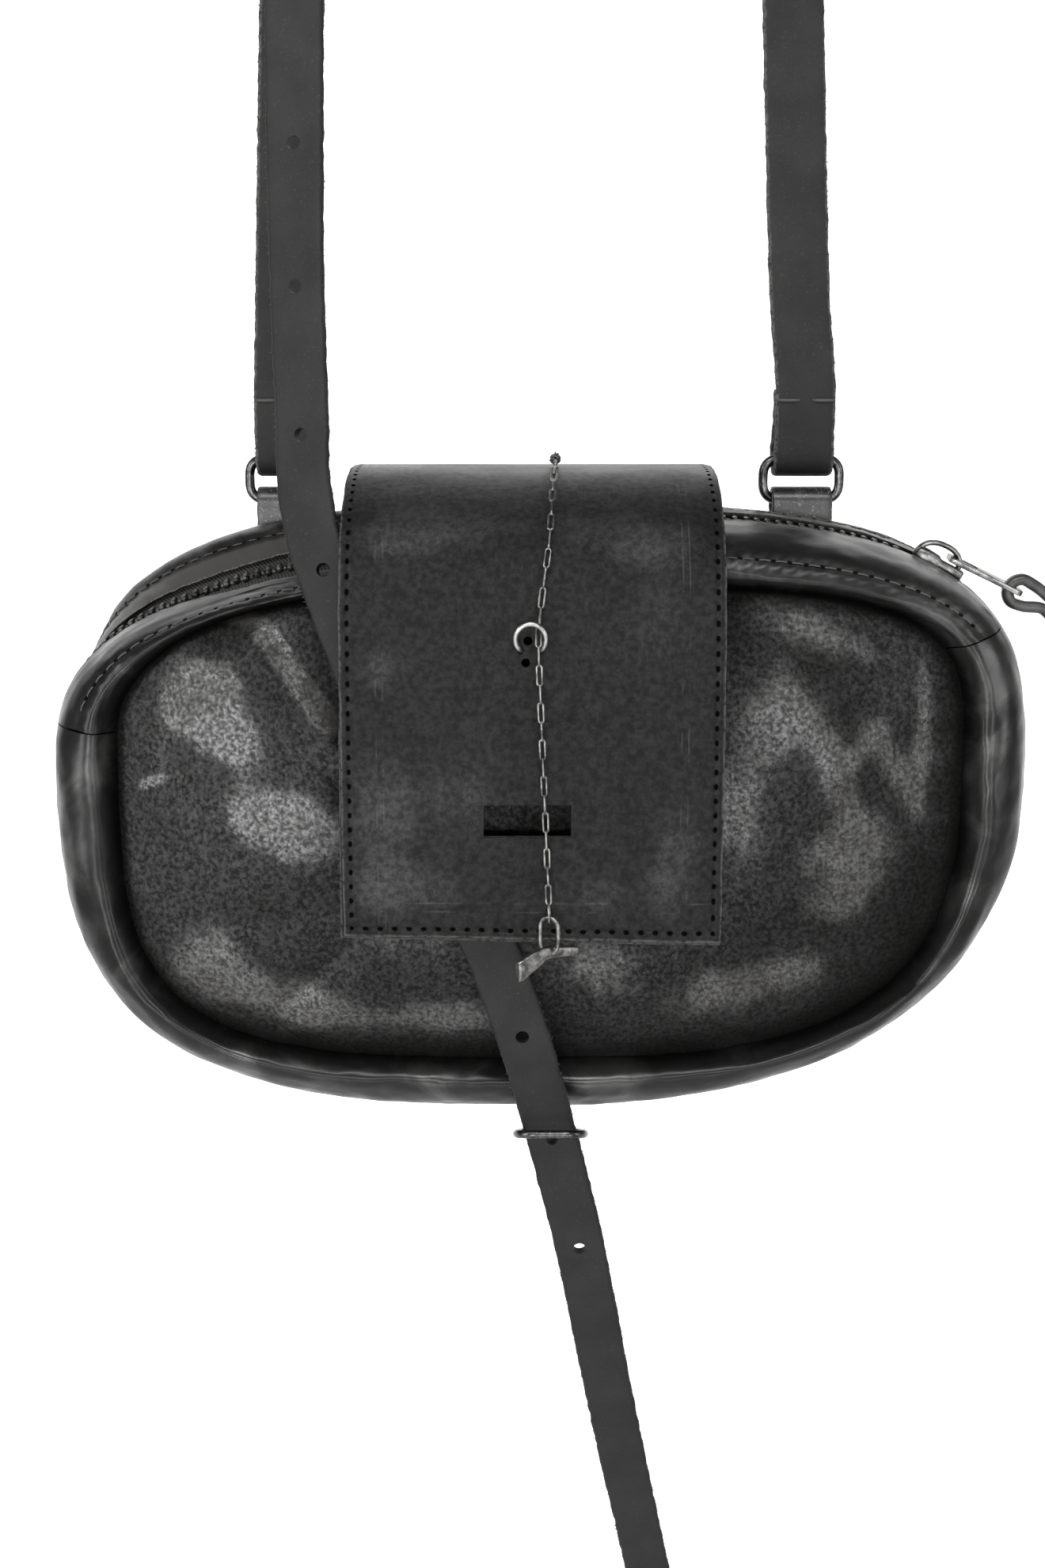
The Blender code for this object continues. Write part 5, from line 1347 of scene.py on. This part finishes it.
def build_pull(hinge, lean):
    """The pull with its window and its eye, a little rolled, and the thong folded through the eye."""
    down = Vector((math.cos(lean), 0, math.sin(lean)))
    level_side = Vector((0, 1, 0))
    level_up = down.cross(level_side)
    roll = math.radians(PULL_ROLL)
    side = level_side * math.cos(roll) + level_up * math.sin(roll)
    up = level_up * math.cos(roll) - level_side * math.sin(roll)
    bar, half = PULL_WIRE / 2, PULL_WIDTH / 2
    eye = PULL_LENGTH - bar - PULL_WIRE - THONG_WALL - 4 * JOIN_GAP
    windows = ((bar, bar + PULL_WINDOW), (eye - 2 * JOIN_GAP, eye + THONG_WALL + 2 * JOIN_GAP))
    path = smooth_path([(PULL_LENGTH * a - bar, half * b, 0.0) for a, b in PULL_OUTLINE], 0.0006)
    parts = []
    for mirror in (1, -1):
        rings = []
        for x, wide, _ in path:
            hole = half - PULL_WIRE if any(low < x < high for low, high in windows) else 0.0
            rings.append([hinge + down * x + side * (mirror * ((wide if outer else hole) - inset))
                          + up * (PULL_WALL * 0.60 * b) for outer, inset, b in PULL_SECTION])
        parts.append(sheet_data(rings, wrap=True, caps=True, flip=mirror < 0))
    piece("pull_dense", parts, "pull_metal", ["zip_pull"], body="pull", crease=35)
    apart, close = (PULL_WALL + THONG_THICK) / 2, THONG_THICK / 2
    route = []
    for share, height in (
            (1.0, close - 0.0040), (0.62, close - 0.0012), (0.42, close + 0.0008), (0.2, apart + 0.0014),
            (0.08, apart + 0.0014), (0.0, 0.0016), (0.0, -0.0016), (0.08, -apart - 0.0014),
            (0.2, -apart - 0.0012), (0.42, -close + 0.0002), (0.62, -close - 0.0016),
            (0.93, -close - 0.0044)):
        spot = hinge + down * (eye + THONG_WALL / 2 + THONG_LENGTH * share) + level_up * height
        route.append((*spot, 90.0))
    thong = strap(smooth_path(route, 0.0008), THONG_WIDTH, THONG_THICK, 8, 0.0002, 21)
    piece("thong_dense", [thong], "thong_leather", ["pull_thong"], body="pull")


def flap_curve():
    """The flap's side view at fine even steps from its sewn end: places and outward directions as (y, z)."""
    line = smooth_path([(0.0, y, z) for y, z in FLAP_LINE], 0.0010)[:, 1:]
    ahead = np.gradient(line, axis=0)
    ahead /= np.linalg.norm(ahead, axis=1)[:, None]
    return line, np.stack([ahead[:, 1], -ahead[:, 0]], axis=1)


def flap_crease(distance, share, x):
    """How deep the creases lie at a place of the flap."""
    crease = 0.0
    for _, left_at, right_at, left, right, deep in FLAP_CREASES:
        reach = (share - left) / (right - left)
        middle = left_at + (right_at - left_at) * reach + 0.0022 * wave(x * 60, left_at * 900, 0, 17)
        strength = ease(left - 0.1, left + 0.05, share) * ease(right + 0.1, right - 0.05, share)
        crease -= deep * strength * math.exp(-((distance - middle) / 0.0008) ** 2)
    return crease


def dense_flap(lift, peek, flats, seed):
    """One layer of the flap as closed sections with rounded cut edges, a little wavy."""
    line, outward = flap_curve()
    last_part = 1.0 / 22  # of the flap's length, over which its free edge is cut askew
    half = FLAP_WIDTH / 2
    shares = list(np.linspace(0, 1, flats))
    faces = [(share, lift) for share in shares]
    faces += [(1.0, lift - FLAP_WALL * k) for k in (0.25, 0.75)]
    faces += [(share, lift - FLAP_WALL) for share in shares[::-4]]
    faces += [(0.0, lift - FLAP_WALL * k) for k in (0.75, 0.25)]
    rows, runs = [], []
    for i, at in enumerate(np.arange(len(line)) / (len(line) - 1)):
        distance = FLAP_LENGTH * (1 - at)
        skew = clamp((at - 1 + last_part) / last_part)
        section, run = [], []
        for share, height in faces:
            x = FLAP_WIDTH * (share - 0.5)
            rounding = 0.00022 * ease(half - 0.0005, half, abs(x)) if height == lift else 0
            soft = 0.00045 * wave(x * 26, distance * 22, 0, seed)
            soft += 0.00020 * wave(x * 70, distance * 60, 0, seed)
            front = ease(0.25, 0.5, at)
            moved = height - rounding + (soft + flap_crease(distance, share, x)) * front
            y, z = line[i] + outward[i] * moved
            z -= (peek + FLAP_SKEW * share + 0.00025 * wave(x * 160, 0, 0, 9)) * skew
            near_edge = ease(half - 0.002, half, abs(x))
            edge_wave = 0.00030 * wave(distance * 110, math.copysign(3.0, x), 0, 6) * near_edge
            section.append((FLAP_CENTRE + x - peek * at ** 3 * ease(0.3, 0.0, share) + edge_wave, y, z))
            run.append((distance, x))
        rows.append(section)
        runs.append(run)
    return sheet_data(rows, wrap=True, caps=True, runs=runs, flip=True)


def cut_through(made, cutters):
    """Cut shapes out of a piece: each cutter is surface data in the part's own frame."""
    points, faces, _ = joined(cutters)
    tool = mesh_object("cutters", points + HANG, faces)
    modifier = made.modifiers.new("holes", "BOOLEAN")
    modifier.operation = "DIFFERENCE"
    modifier.solver = "EXACT"
    modifier.object = tool
    bpy.context.view_layer.update()
    graph = bpy.context.evaluated_depsgraph_get()
    result = bpy.data.meshes.new_from_object(made.evaluated_get(graph))
    made.modifiers.remove(modifier)
    made.data = result
    bpy.data.objects.remove(tool, do_unlink=True)


def peg(place, axis, diameter, length):
    """A round cutter through a place."""
    half = Vector(axis).normalized() * length / 2
    return tube([Vector(place) - half, Vector(place) + half], diameter, 24)


def build_flap():
    """The flap's two layers with the slot and the holes, and the ring through them."""
    layers = []
    for name, lift, peek, flats, seed in (("flap_lining", FLAP_WALL, LINING_PEEK, 45, 14),
                                          ("flap_outer", FLAP_LAYERS, 0.0, 105, 13)):
        layers.append(piece(name + "_dense", [dense_flap(lift, peek, flats, seed)], "flap_leather", [name]))
    left, right = SLOT_CENTRE - SLOT_WIDTH / 2, SLOT_CENTRE + SLOT_WIDTH / 2
    near, far = -FLAP_FRONT - 4 * FLAP_LAYERS, -FLAP_FRONT + 2 * FLAP_LAYERS
    corners = ((left, near), (right, near), (right, far), (left, far))
    slot = [[(x, y, SLOT_DROP + side * SLOT_HEIGHT / 2) for x, y in corners] for side in (-1, 1)]
    place, down, out = flap_frame(flap_distance(FLAP_RING_Z))
    reach = (FLAP_RING_SPAN - FLAP_RING_WIRE) / 2
    cutters = [sheet_data(slot, wrap=True, caps=True)]
    for x, drop, diameter in ((-reach * 0.66, 0.75, FLAP_RING_WIRE + 2 * JOIN_GAP),
                              (reach * 0.66, 0.75, FLAP_RING_WIRE + 2 * JOIN_GAP),
                              (-0.0008, 0.12, PUNCH_DIAMETER), (-0.0014, 1.55, PUNCH_DIAMETER)):
        spot = place + down * (reach * drop) + Vector((FLAP_RING_X + x, 0, 0))
        cutters.append(peg(spot, out, diameter, 4 * FLAP_LAYERS))
    for layer in layers:
        cut_through(layer, cutters)
    build_flap_ring(place, down, out, reach)


def build_flap_ring(place, down, out, reach):
    """The ring of round wire, a little uneven, that stands off the flap and goes through it."""
    spots, steps = [], 28
    for i in range(steps + 1):
        turn = math.radians(-128 + 256 * i / steps)
        height = math.cos(turn)
        lift = FLAP_LAYERS + FLAP_RING_STANDOFF * math.sqrt(max(height + 0.75, 0.02) / 1.75)
        spots.append((-reach * height, lift, reach * math.sin(turn)))
    front, behind = FLAP_LAYERS * 0.9, -FLAP_RING_WIRE / 2 - JOIN_GAP
    spots += [(reach * 0.75, lift, reach * 0.66) for lift in (front, behind)]
    spots += [(reach * 0.75, lift, -reach * 0.66) for lift in (behind, front)]
    points = [place + down * drop + out * lift + Vector((FLAP_RING_X + x, 0, 0)) for drop, lift, x in spots]
    path = smooth_path(points + points[:1], WIRE_STEP)[:-1]
    ring = tube(path, uneven_sizes(path, FLAP_RING_WIRE, 0.05, 500), 16, closed=True)
    piece("flap_ring_dense", [ring], "bright_metal", ["flap_ring"], crease=180)


def uneven_sizes(path, wire, share, pitch):
    """A wire's diameter along its path, uneven by a share."""
    return [wire * (1 + share * wave(*(p * pitch), 3)) for p in path]


def dense_link(centre, ahead, side, length, width, diameter, turns=11):
    """A link's centre line with smooth half rounds."""
    radius = (width - diameter) / 2
    straight = (length - diameter) / 2 - radius
    points = []
    for end in (1, -1):
        for i in range(turns):
            turn = math.radians(-90 + 180 * i / (turns - 1))
            points.append(centre + ahead * (end * (straight + radius * math.cos(turn)))
                          + side * (end * radius * math.sin(turn)))
    return points


def build_chain():
    """Every link of the chain as its own smooth wire, with its knot and its toggle."""
    pitch = LINK_LENGTH - 2 * LINK_WIRE + LINK_BITE
    points, _ = even_path([row[1:] for row in CHAIN_ROUTE], pitch)
    centres = [flap_point(up, x, FLAP_LAYERS + lift) for x, up, lift in points]
    last = len(points) - 1
    links = []
    for i, centre in enumerate(centres):
        ahead = ahead_at(centres, i)
        out = flap_frame(points[i][1])[2]
        out = (out - ahead * out.dot(ahead)).normalized()
        side = ahead.cross(out) if (last - i) % 2 else out
        twist = math.radians(14 * wave(i * 0.9, 0, 0, 5))
        side = (side * math.cos(twist) + ahead.cross(side) * math.sin(twist)).normalized()
        width = LINK_WIDTH if i < last else END_LINK_WIRE + 2 * LINK_WIRE + 4 * JOIN_GAP
        line = dense_link(centre, ahead, side, LINK_LENGTH, width, LINK_WIRE)
        links.append(tube(line, LINK_WIRE * 1.04, 9, True))
    piece("chain_dense", links, "grey_metal", ["chain"], crease=180)
    build_knot(points[0][1], centres[0])
    gap = (LINK_LENGTH - LINK_WIRE) / 2 - (LINK_WIRE + END_LINK_WIRE) / 2 - 2 * JOIN_GAP
    build_toggle(centres[-1] + (centres[-1] - centres[-2]).normalized() * gap)


def build_knot(start, first_link):
    """The small knot of leather above the first link, with its loose ends."""
    _, down, out = flap_frame(start)
    radius = KNOT_WIDTH / 2
    centre = first_link - down * (LINK_LENGTH / 2 + radius + JOIN_GAP)
    lift = (centre - flap_frame(start + LINK_LENGTH / 2 + radius)[0]).dot(out)
    centre += out * (FLAP_LAYERS + 2 * JOIN_GAP + radius - lift)
    turns = []
    for i in range(60):
        t = i / 59 * 2 * math.pi * 3.5
        s = i / 59 * 2 - 1
        r = radius * 0.72 * math.sqrt(max(1 - s * s * 0.8, 0.05))
        turns.append(centre + Vector((r * math.cos(t), s * radius * 0.7, r * math.sin(t)))
                     + Vector([wave(i * 0.5, 0, 0, seed) for seed in (2, 3, 4)]) * radius * 0.3)
    parts = [tube(turns, KNOT_WIDTH * 0.28, 7)]
    for n in range(4):
        tip = Vector((wave(n * 3.3, 0, 0, 1), wave(n * 3.3, 0, 0, 2) - 0.2, 0.9)).normalized() * radius * 1.5
        sizes = [KNOT_WIDTH * 0.16, KNOT_WIDTH * 0.1, 0.00008]
        parts.append(tube([centre, centre + tip * 0.6, centre + tip], sizes, 6))
    piece("knot_dense", parts, "tab_leather", ["chain_knot"], crease=180)


def build_toggle(top):
    """The oval link with its right leg forward, and the flat toggle that it carries."""
    turn = math.radians(END_LINK_TURN)
    side = Vector((math.cos(turn), -math.sin(turn), 0))
    hang = Vector((0, 0, -1))
    reach = (END_LINK_LENGTH - END_LINK_WIRE) / 2
    centre = top + hang * reach
    line = dense_link(centre, hang, side, END_LINK_LENGTH, END_LINK_WIDTH, END_LINK_WIRE, 16)
    line = smooth_path(line + line[:1], WIRE_STEP)[:-1]
    link = tube(line, uneven_sizes(line, END_LINK_WIRE, 0.10, 900), 12, True)
    piece("end_link_dense", [link], "grey_metal", ["chain_end_link"], crease=180)
    along = Vector((math.cos(turn), math.sin(turn), 0))
    across = Vector((-math.sin(turn), math.cos(turn), 0))
    seat = centre + hang * (reach - JOIN_GAP)
    rings = []
    for share, drop, height, thickness in smooth_path(TOGGLE, 0.02):
        spot = seat + along * (share * TOGGLE_LENGTH) + hang * (drop * TOGGLE_BROAD)
        tall = TOGGLE_NECK + (TOGGLE_BROAD - TOGGLE_NECK) * height
        half = TOGGLE_THICKNESS * thickness / 2
        rings.append(squared_ring(spot, across * half, hang * (-tall / 2), 28, 3.0, 0,
                                  lambda x, y: 1 + 0.035 * wave(share * 16, x * 3, y * 3, 4)))
    piece("toggle_dense", [sheet_data(rings, wrap=True, caps=True)], "grey_metal", ["toggle_bar"])


def stitch_pair(place):
    """Two thick stitches side by side on a strap that hangs straight down, in front of a place."""
    sunk, face, crown = 0.0006, STRAP_WALL / 2 + 0.0001, STRAP_WALL / 2 + 0.0006
    found = []
    for side in (-1, 1):
        path = []
        for inward, out in ((0, -sunk), (0, face), (0.25, crown), (0.75, crown), (1, face), (1, -sunk)):
            across = STRAP_STITCH_PLACE - STRAP_STITCH_LENGTH * inward
            path.append(place + Vector((side * across, -out, 0)))
        found.append(tube(path, STRAP_STITCH_WIRE, 8))
    return found


def fibres(stations, widths, count, seed):
    """Loose fibres along a strap's two cut edges."""
    chance = random.Random(seed)
    found = []
    places = [Vector(row[:3]) for row in stations]
    for _ in range(count):
        i = chance.randrange(2, len(places) - 2)
        ahead, across, out = strap_axes(places, i, stations[i][3])
        side = chance.choice((-1, 1))
        width = widths[i] if isinstance(widths, list) else widths
        foot = places[i] + across * (side * (width / 2 - 0.0002))
        foot += out * (STRAP_WALL * chance.uniform(-0.45, 0.45))
        tip = across * side + ahead * chance.uniform(-1.2, 1.2) + out * chance.uniform(-0.5, 0.5)
        tip.normalize()
        reach = chance.uniform(0.0004, 0.0011)
        bend = foot + tip * reach * 0.6 + ahead * chance.uniform(-0.0002, 0.0002)
        found.append(tube([foot, bend, foot + tip * reach + ahead * chance.uniform(-0.0004, 0.0004)],
                          [0.00022, 0.00014, 0.00004], 3))
    return found


def build_strap(name, rows, widths, seed, count):
    """One of the two shoulder straps, with the fibres along its edges."""
    stations = smooth_path(rows, STRAP_STEP)
    if isinstance(widths, tuple):
        widths = np.linspace(*widths, len(stations)).tolist()
    data = strap(stations, widths, STRAP_WALL, 8, STRAP_FRAY, seed)
    made = piece(name + "_dense", [data], "strap_leather", [name], crease=60)
    return made, fibres(stations, widths, count, seed + 10)


def strap_holes(rows):
    """Cutters for the punched holes of the tail."""
    distances = [0.0]
    for a, b in zip(rows, rows[1:]):
        distances.append(distances[-1] + math.dist(a[:3], b[:3]))
    cutters = []
    for pitches in HOLES:
        at = distances[-1] - pitches * HOLE_PITCH
        k = next(i for i, distance in enumerate(distances) if distance > at)
        share = (at - distances[k - 1]) / (distances[k] - distances[k - 1])
        before, after = Vector(rows[k - 1][:3]), Vector(rows[k][:3])
        out = (after - before).normalized().cross(facing(rows[k][3]))
        cutters.append(peg(before.lerp(after, share), out, HOLE_DIAMETER, 3 * STRAP_WALL))
    return cutters


def build_straps():
    """The shoulder strap with its punched tail, the short left strap and the ring that it holds."""
    rows = folded_end(RIGHT_RING_X) + strap_stations()[0][2:]
    made, loose = build_strap("shoulder_strap", rows, (STRAP_WIDTH, STRAP_TIP_WIDTH), 31, 1500)
    cut_through(made, strap_holes(rows))
    piece("strap_fibres", loose, "thread", crease=180)
    _, loose = build_strap("left_strap", left_strap_rows(), STRAP_WIDTH, 33, 360)
    piece("left_strap_fibres", loose, "thread", crease=180)
    wire_loop("buckle", buckle_place(), Vector((0, 0, 1)), BUCKLE_WIDTH, BUCKLE_HEIGHT, BUCKLE_WIRE, 7.0, 16)
    stitches = []
    front = RING_Y - ring_fold_radius(STRAP_WALL)
    for x in (RIGHT_RING_X, LEFT_RING_X):
        stitches += stitch_pair(Vector((x, front, bar_height(1) + STRAP_STITCH_RISE)))
    piece("strap_stitches", stitches, "thread", crease=180)


def left_strap_rows():
    """The stations of the short left strap, from its fold in the left ring to its fold round the buckle."""
    buckle = buckle_place()
    bar = buckle.z - (BUCKLE_HEIGHT - BUCKLE_WIRE) / 2
    radius = BUCKLE_WIRE / 2 + 4 * JOIN_GAP + STRAP_WALL / 2
    rows = folded_end(LEFT_RING_X)
    low = rows[-1]
    back = buckle.y + radius
    climb = []
    for share, lag in ((0, 0), (0.25, 0.30), (0.55, 0.66), (0.85, 0.95)):
        climb.append((low[0] + (buckle.x - low[0]) * share, low[1] + (back - low[1]) * lag,
                      low[2] + (bar - low[2]) * share, 0))
    climb.append((buckle.x, back, bar - 0.004, 0))
    rows += even_path(climb, 0.014)[0][1:]
    rows += fold(buckle.x, buckle.y, bar, radius, 0, 180)
    close = back - STRAP_WALL - 2 * JOIN_GAP
    rows += [(buckle.x, y, bar - drop * STRAP_FOLD_LENGTH, 0) for y, drop in (
        (buckle.y - 0.4 * radius, 0.35), (close - 0.0004, 0.70), (close + 0.0010, 0.95))]
    return rows


def wire_loop(name, middle, up, width, height, wire, power, sides):
    """A closed ring of round wire, as wide as its outer size along X."""
    loop = rounded_loop((width - wire) / 2, (height - wire) / 2, 72, power)
    ring = tube([middle + Vector((a, 0, 0)) + up * b for a, b in loop], wire, sides, True)
    piece(name + "_dense", [ring], "dark_metal", [name], crease=180)


def build_tab(name, node, rows, width, flats, seed):
    """A leather tab folded round a ring."""
    tab = strap(smooth_path(rows, 0.0008), width, TAB_WALL, flats, 0.0002, seed)
    piece(name, [tab], "tab_leather", [node])


def build_rings():
    """The two D-rings with their tabs, and the ring under the bag with its tab."""
    bar = bar_height(-1)
    radius = ring_fold_radius(TAB_WALL)
    inner = RING_Y - radius
    outer = inner + TAB_WALL + JOIN_GAP
    for side, x in (("right", RIGHT_RING_X), ("left", LEFT_RING_X)):
        wire_loop(side + "_d_ring", Vector((x, RING_Y, RING_Z)), Vector((0, 0, 1)), RING_WIDTH, RING_HEIGHT,
                  RING_WIRE, 3.4, 18)
        rows = [(x, inner + PANEL_SWELL, bar - TAB_LENGTH, 0), (x, inner, bar - 0.45 * TAB_LENGTH, 0)]
        rows += fold(x, RING_Y, bar, radius, 190, -10)
        rows += [(x, outer + 0.0010, bar - 0.40 * TAB_LENGTH, 0), (x, outer, bar - 0.62 * TAB_LENGTH, 0),
                 (x, outer + PANEL_SWELL, bar - TAB_LENGTH, 0)]
        build_tab(side + "_tab_dense", side + "_ring_tab", rows, TAB_WIDTH, 14, 51)
    centre = bottom_ring_centre()
    tilt = math.radians(BOTTOM_RING_TILT)
    back = Vector((0, math.cos(tilt), -math.sin(tilt)))
    wire_loop("bottom_ring", centre, back, BOTTOM_RING_WIDTH, BOTTOM_RING_REACH, BOTTOM_RING_WIRE, 3.8, 16)
    x, y, z = centre + back * ((BOTTOM_RING_REACH - BOTTOM_RING_WIRE) / 2)
    upper = -BAG_DROP - JOIN_GAP - TAB_WALL / 2
    lower = upper - TAB_WALL - JOIN_GAP
    rows = [(x, 0.35 * HALF_DEPTH, upper, 0), (x, -0.30 * HALF_DEPTH, upper, 0)]
    rows += fold(x, y, z, BOTTOM_RING_WIRE / 2 + 3 * JOIN_GAP + TAB_WALL / 2, 60, 300)
    rows += [(x, -0.38 * HALF_DEPTH, lower - 0.0010, 0), (x, 0.35 * HALF_DEPTH, lower, 0)]
    build_tab("bottom_tab_dense", "bottom_tab", rows, BOTTOM_TAB_WIDTH, 10, 53)


def build_studio():
    """A pale floor that turns up into a wall, soft lights, and the camera at the photo's angle."""
    rows = []
    for i in range(41):
        share = i / 40
        turn = clamp((share - 0.5) / 0.15) * math.pi / 2
        y = FLOOR_FRONT + 8.0 * min(share, 0.5) + COVE_RADIUS * math.sin(turn)
        z = FLOOR + COVE_RADIUS * (1 - math.cos(turn)) + WALL_HEIGHT * max(share - 0.65, 0.0) / 0.35
        rows.append([(-FLOOR_SIDE, y, z), (FLOOR_SIDE, y, z)])
    points, faces, _ = sheet_data(rows, flip=True)
    floor = mesh_object("studio_floor", points, faces)
    floor.data.shade_smooth()
    floor.data.materials.append(LOOKS["studio_white"])
    world = bpy.data.worlds.new("studio_world")
    bpy.context.scene.world = world
    world.use_nodes = True
    world.node_tree.nodes["Background"].inputs["Color"].default_value = (1.0, 1.0, 1.0, 1.0)
    world.node_tree.nodes["Background"].inputs["Strength"].default_value = WORLD_LIGHT
    for name, place, width, height, power in LIGHTS:
        light = bpy.data.lights.new(name, "AREA")
        light.shape = "RECTANGLE"
        light.size, light.size_y = width, height
        light.energy = power
        lamp = new_object(name, light)
        lamp.location = place
        lamp.rotation_euler = (Vector(LIGHT_AIM) - Vector(place)).to_track_quat("-Z", "Y").to_euler()
    lens = bpy.data.cameras.new("photo_camera")
    lens.sensor_fit = "VERTICAL"
    lens.sensor_height = SENSOR_HEIGHT
    lens.lens = LENS
    lens.clip_start = 0.02
    eye = new_object("photo_camera", lens)
    eye.location = EYE
    eye.rotation_euler = (math.radians(EYE_TILT), 0, 0)
    bpy.context.scene.camera = eye
    bpy.context.scene.view_settings.view_transform = "Standard"


build_body()
build_zip()
build_slider()
build_flap()
build_chain()
build_straps()
build_rings()
build_studio()
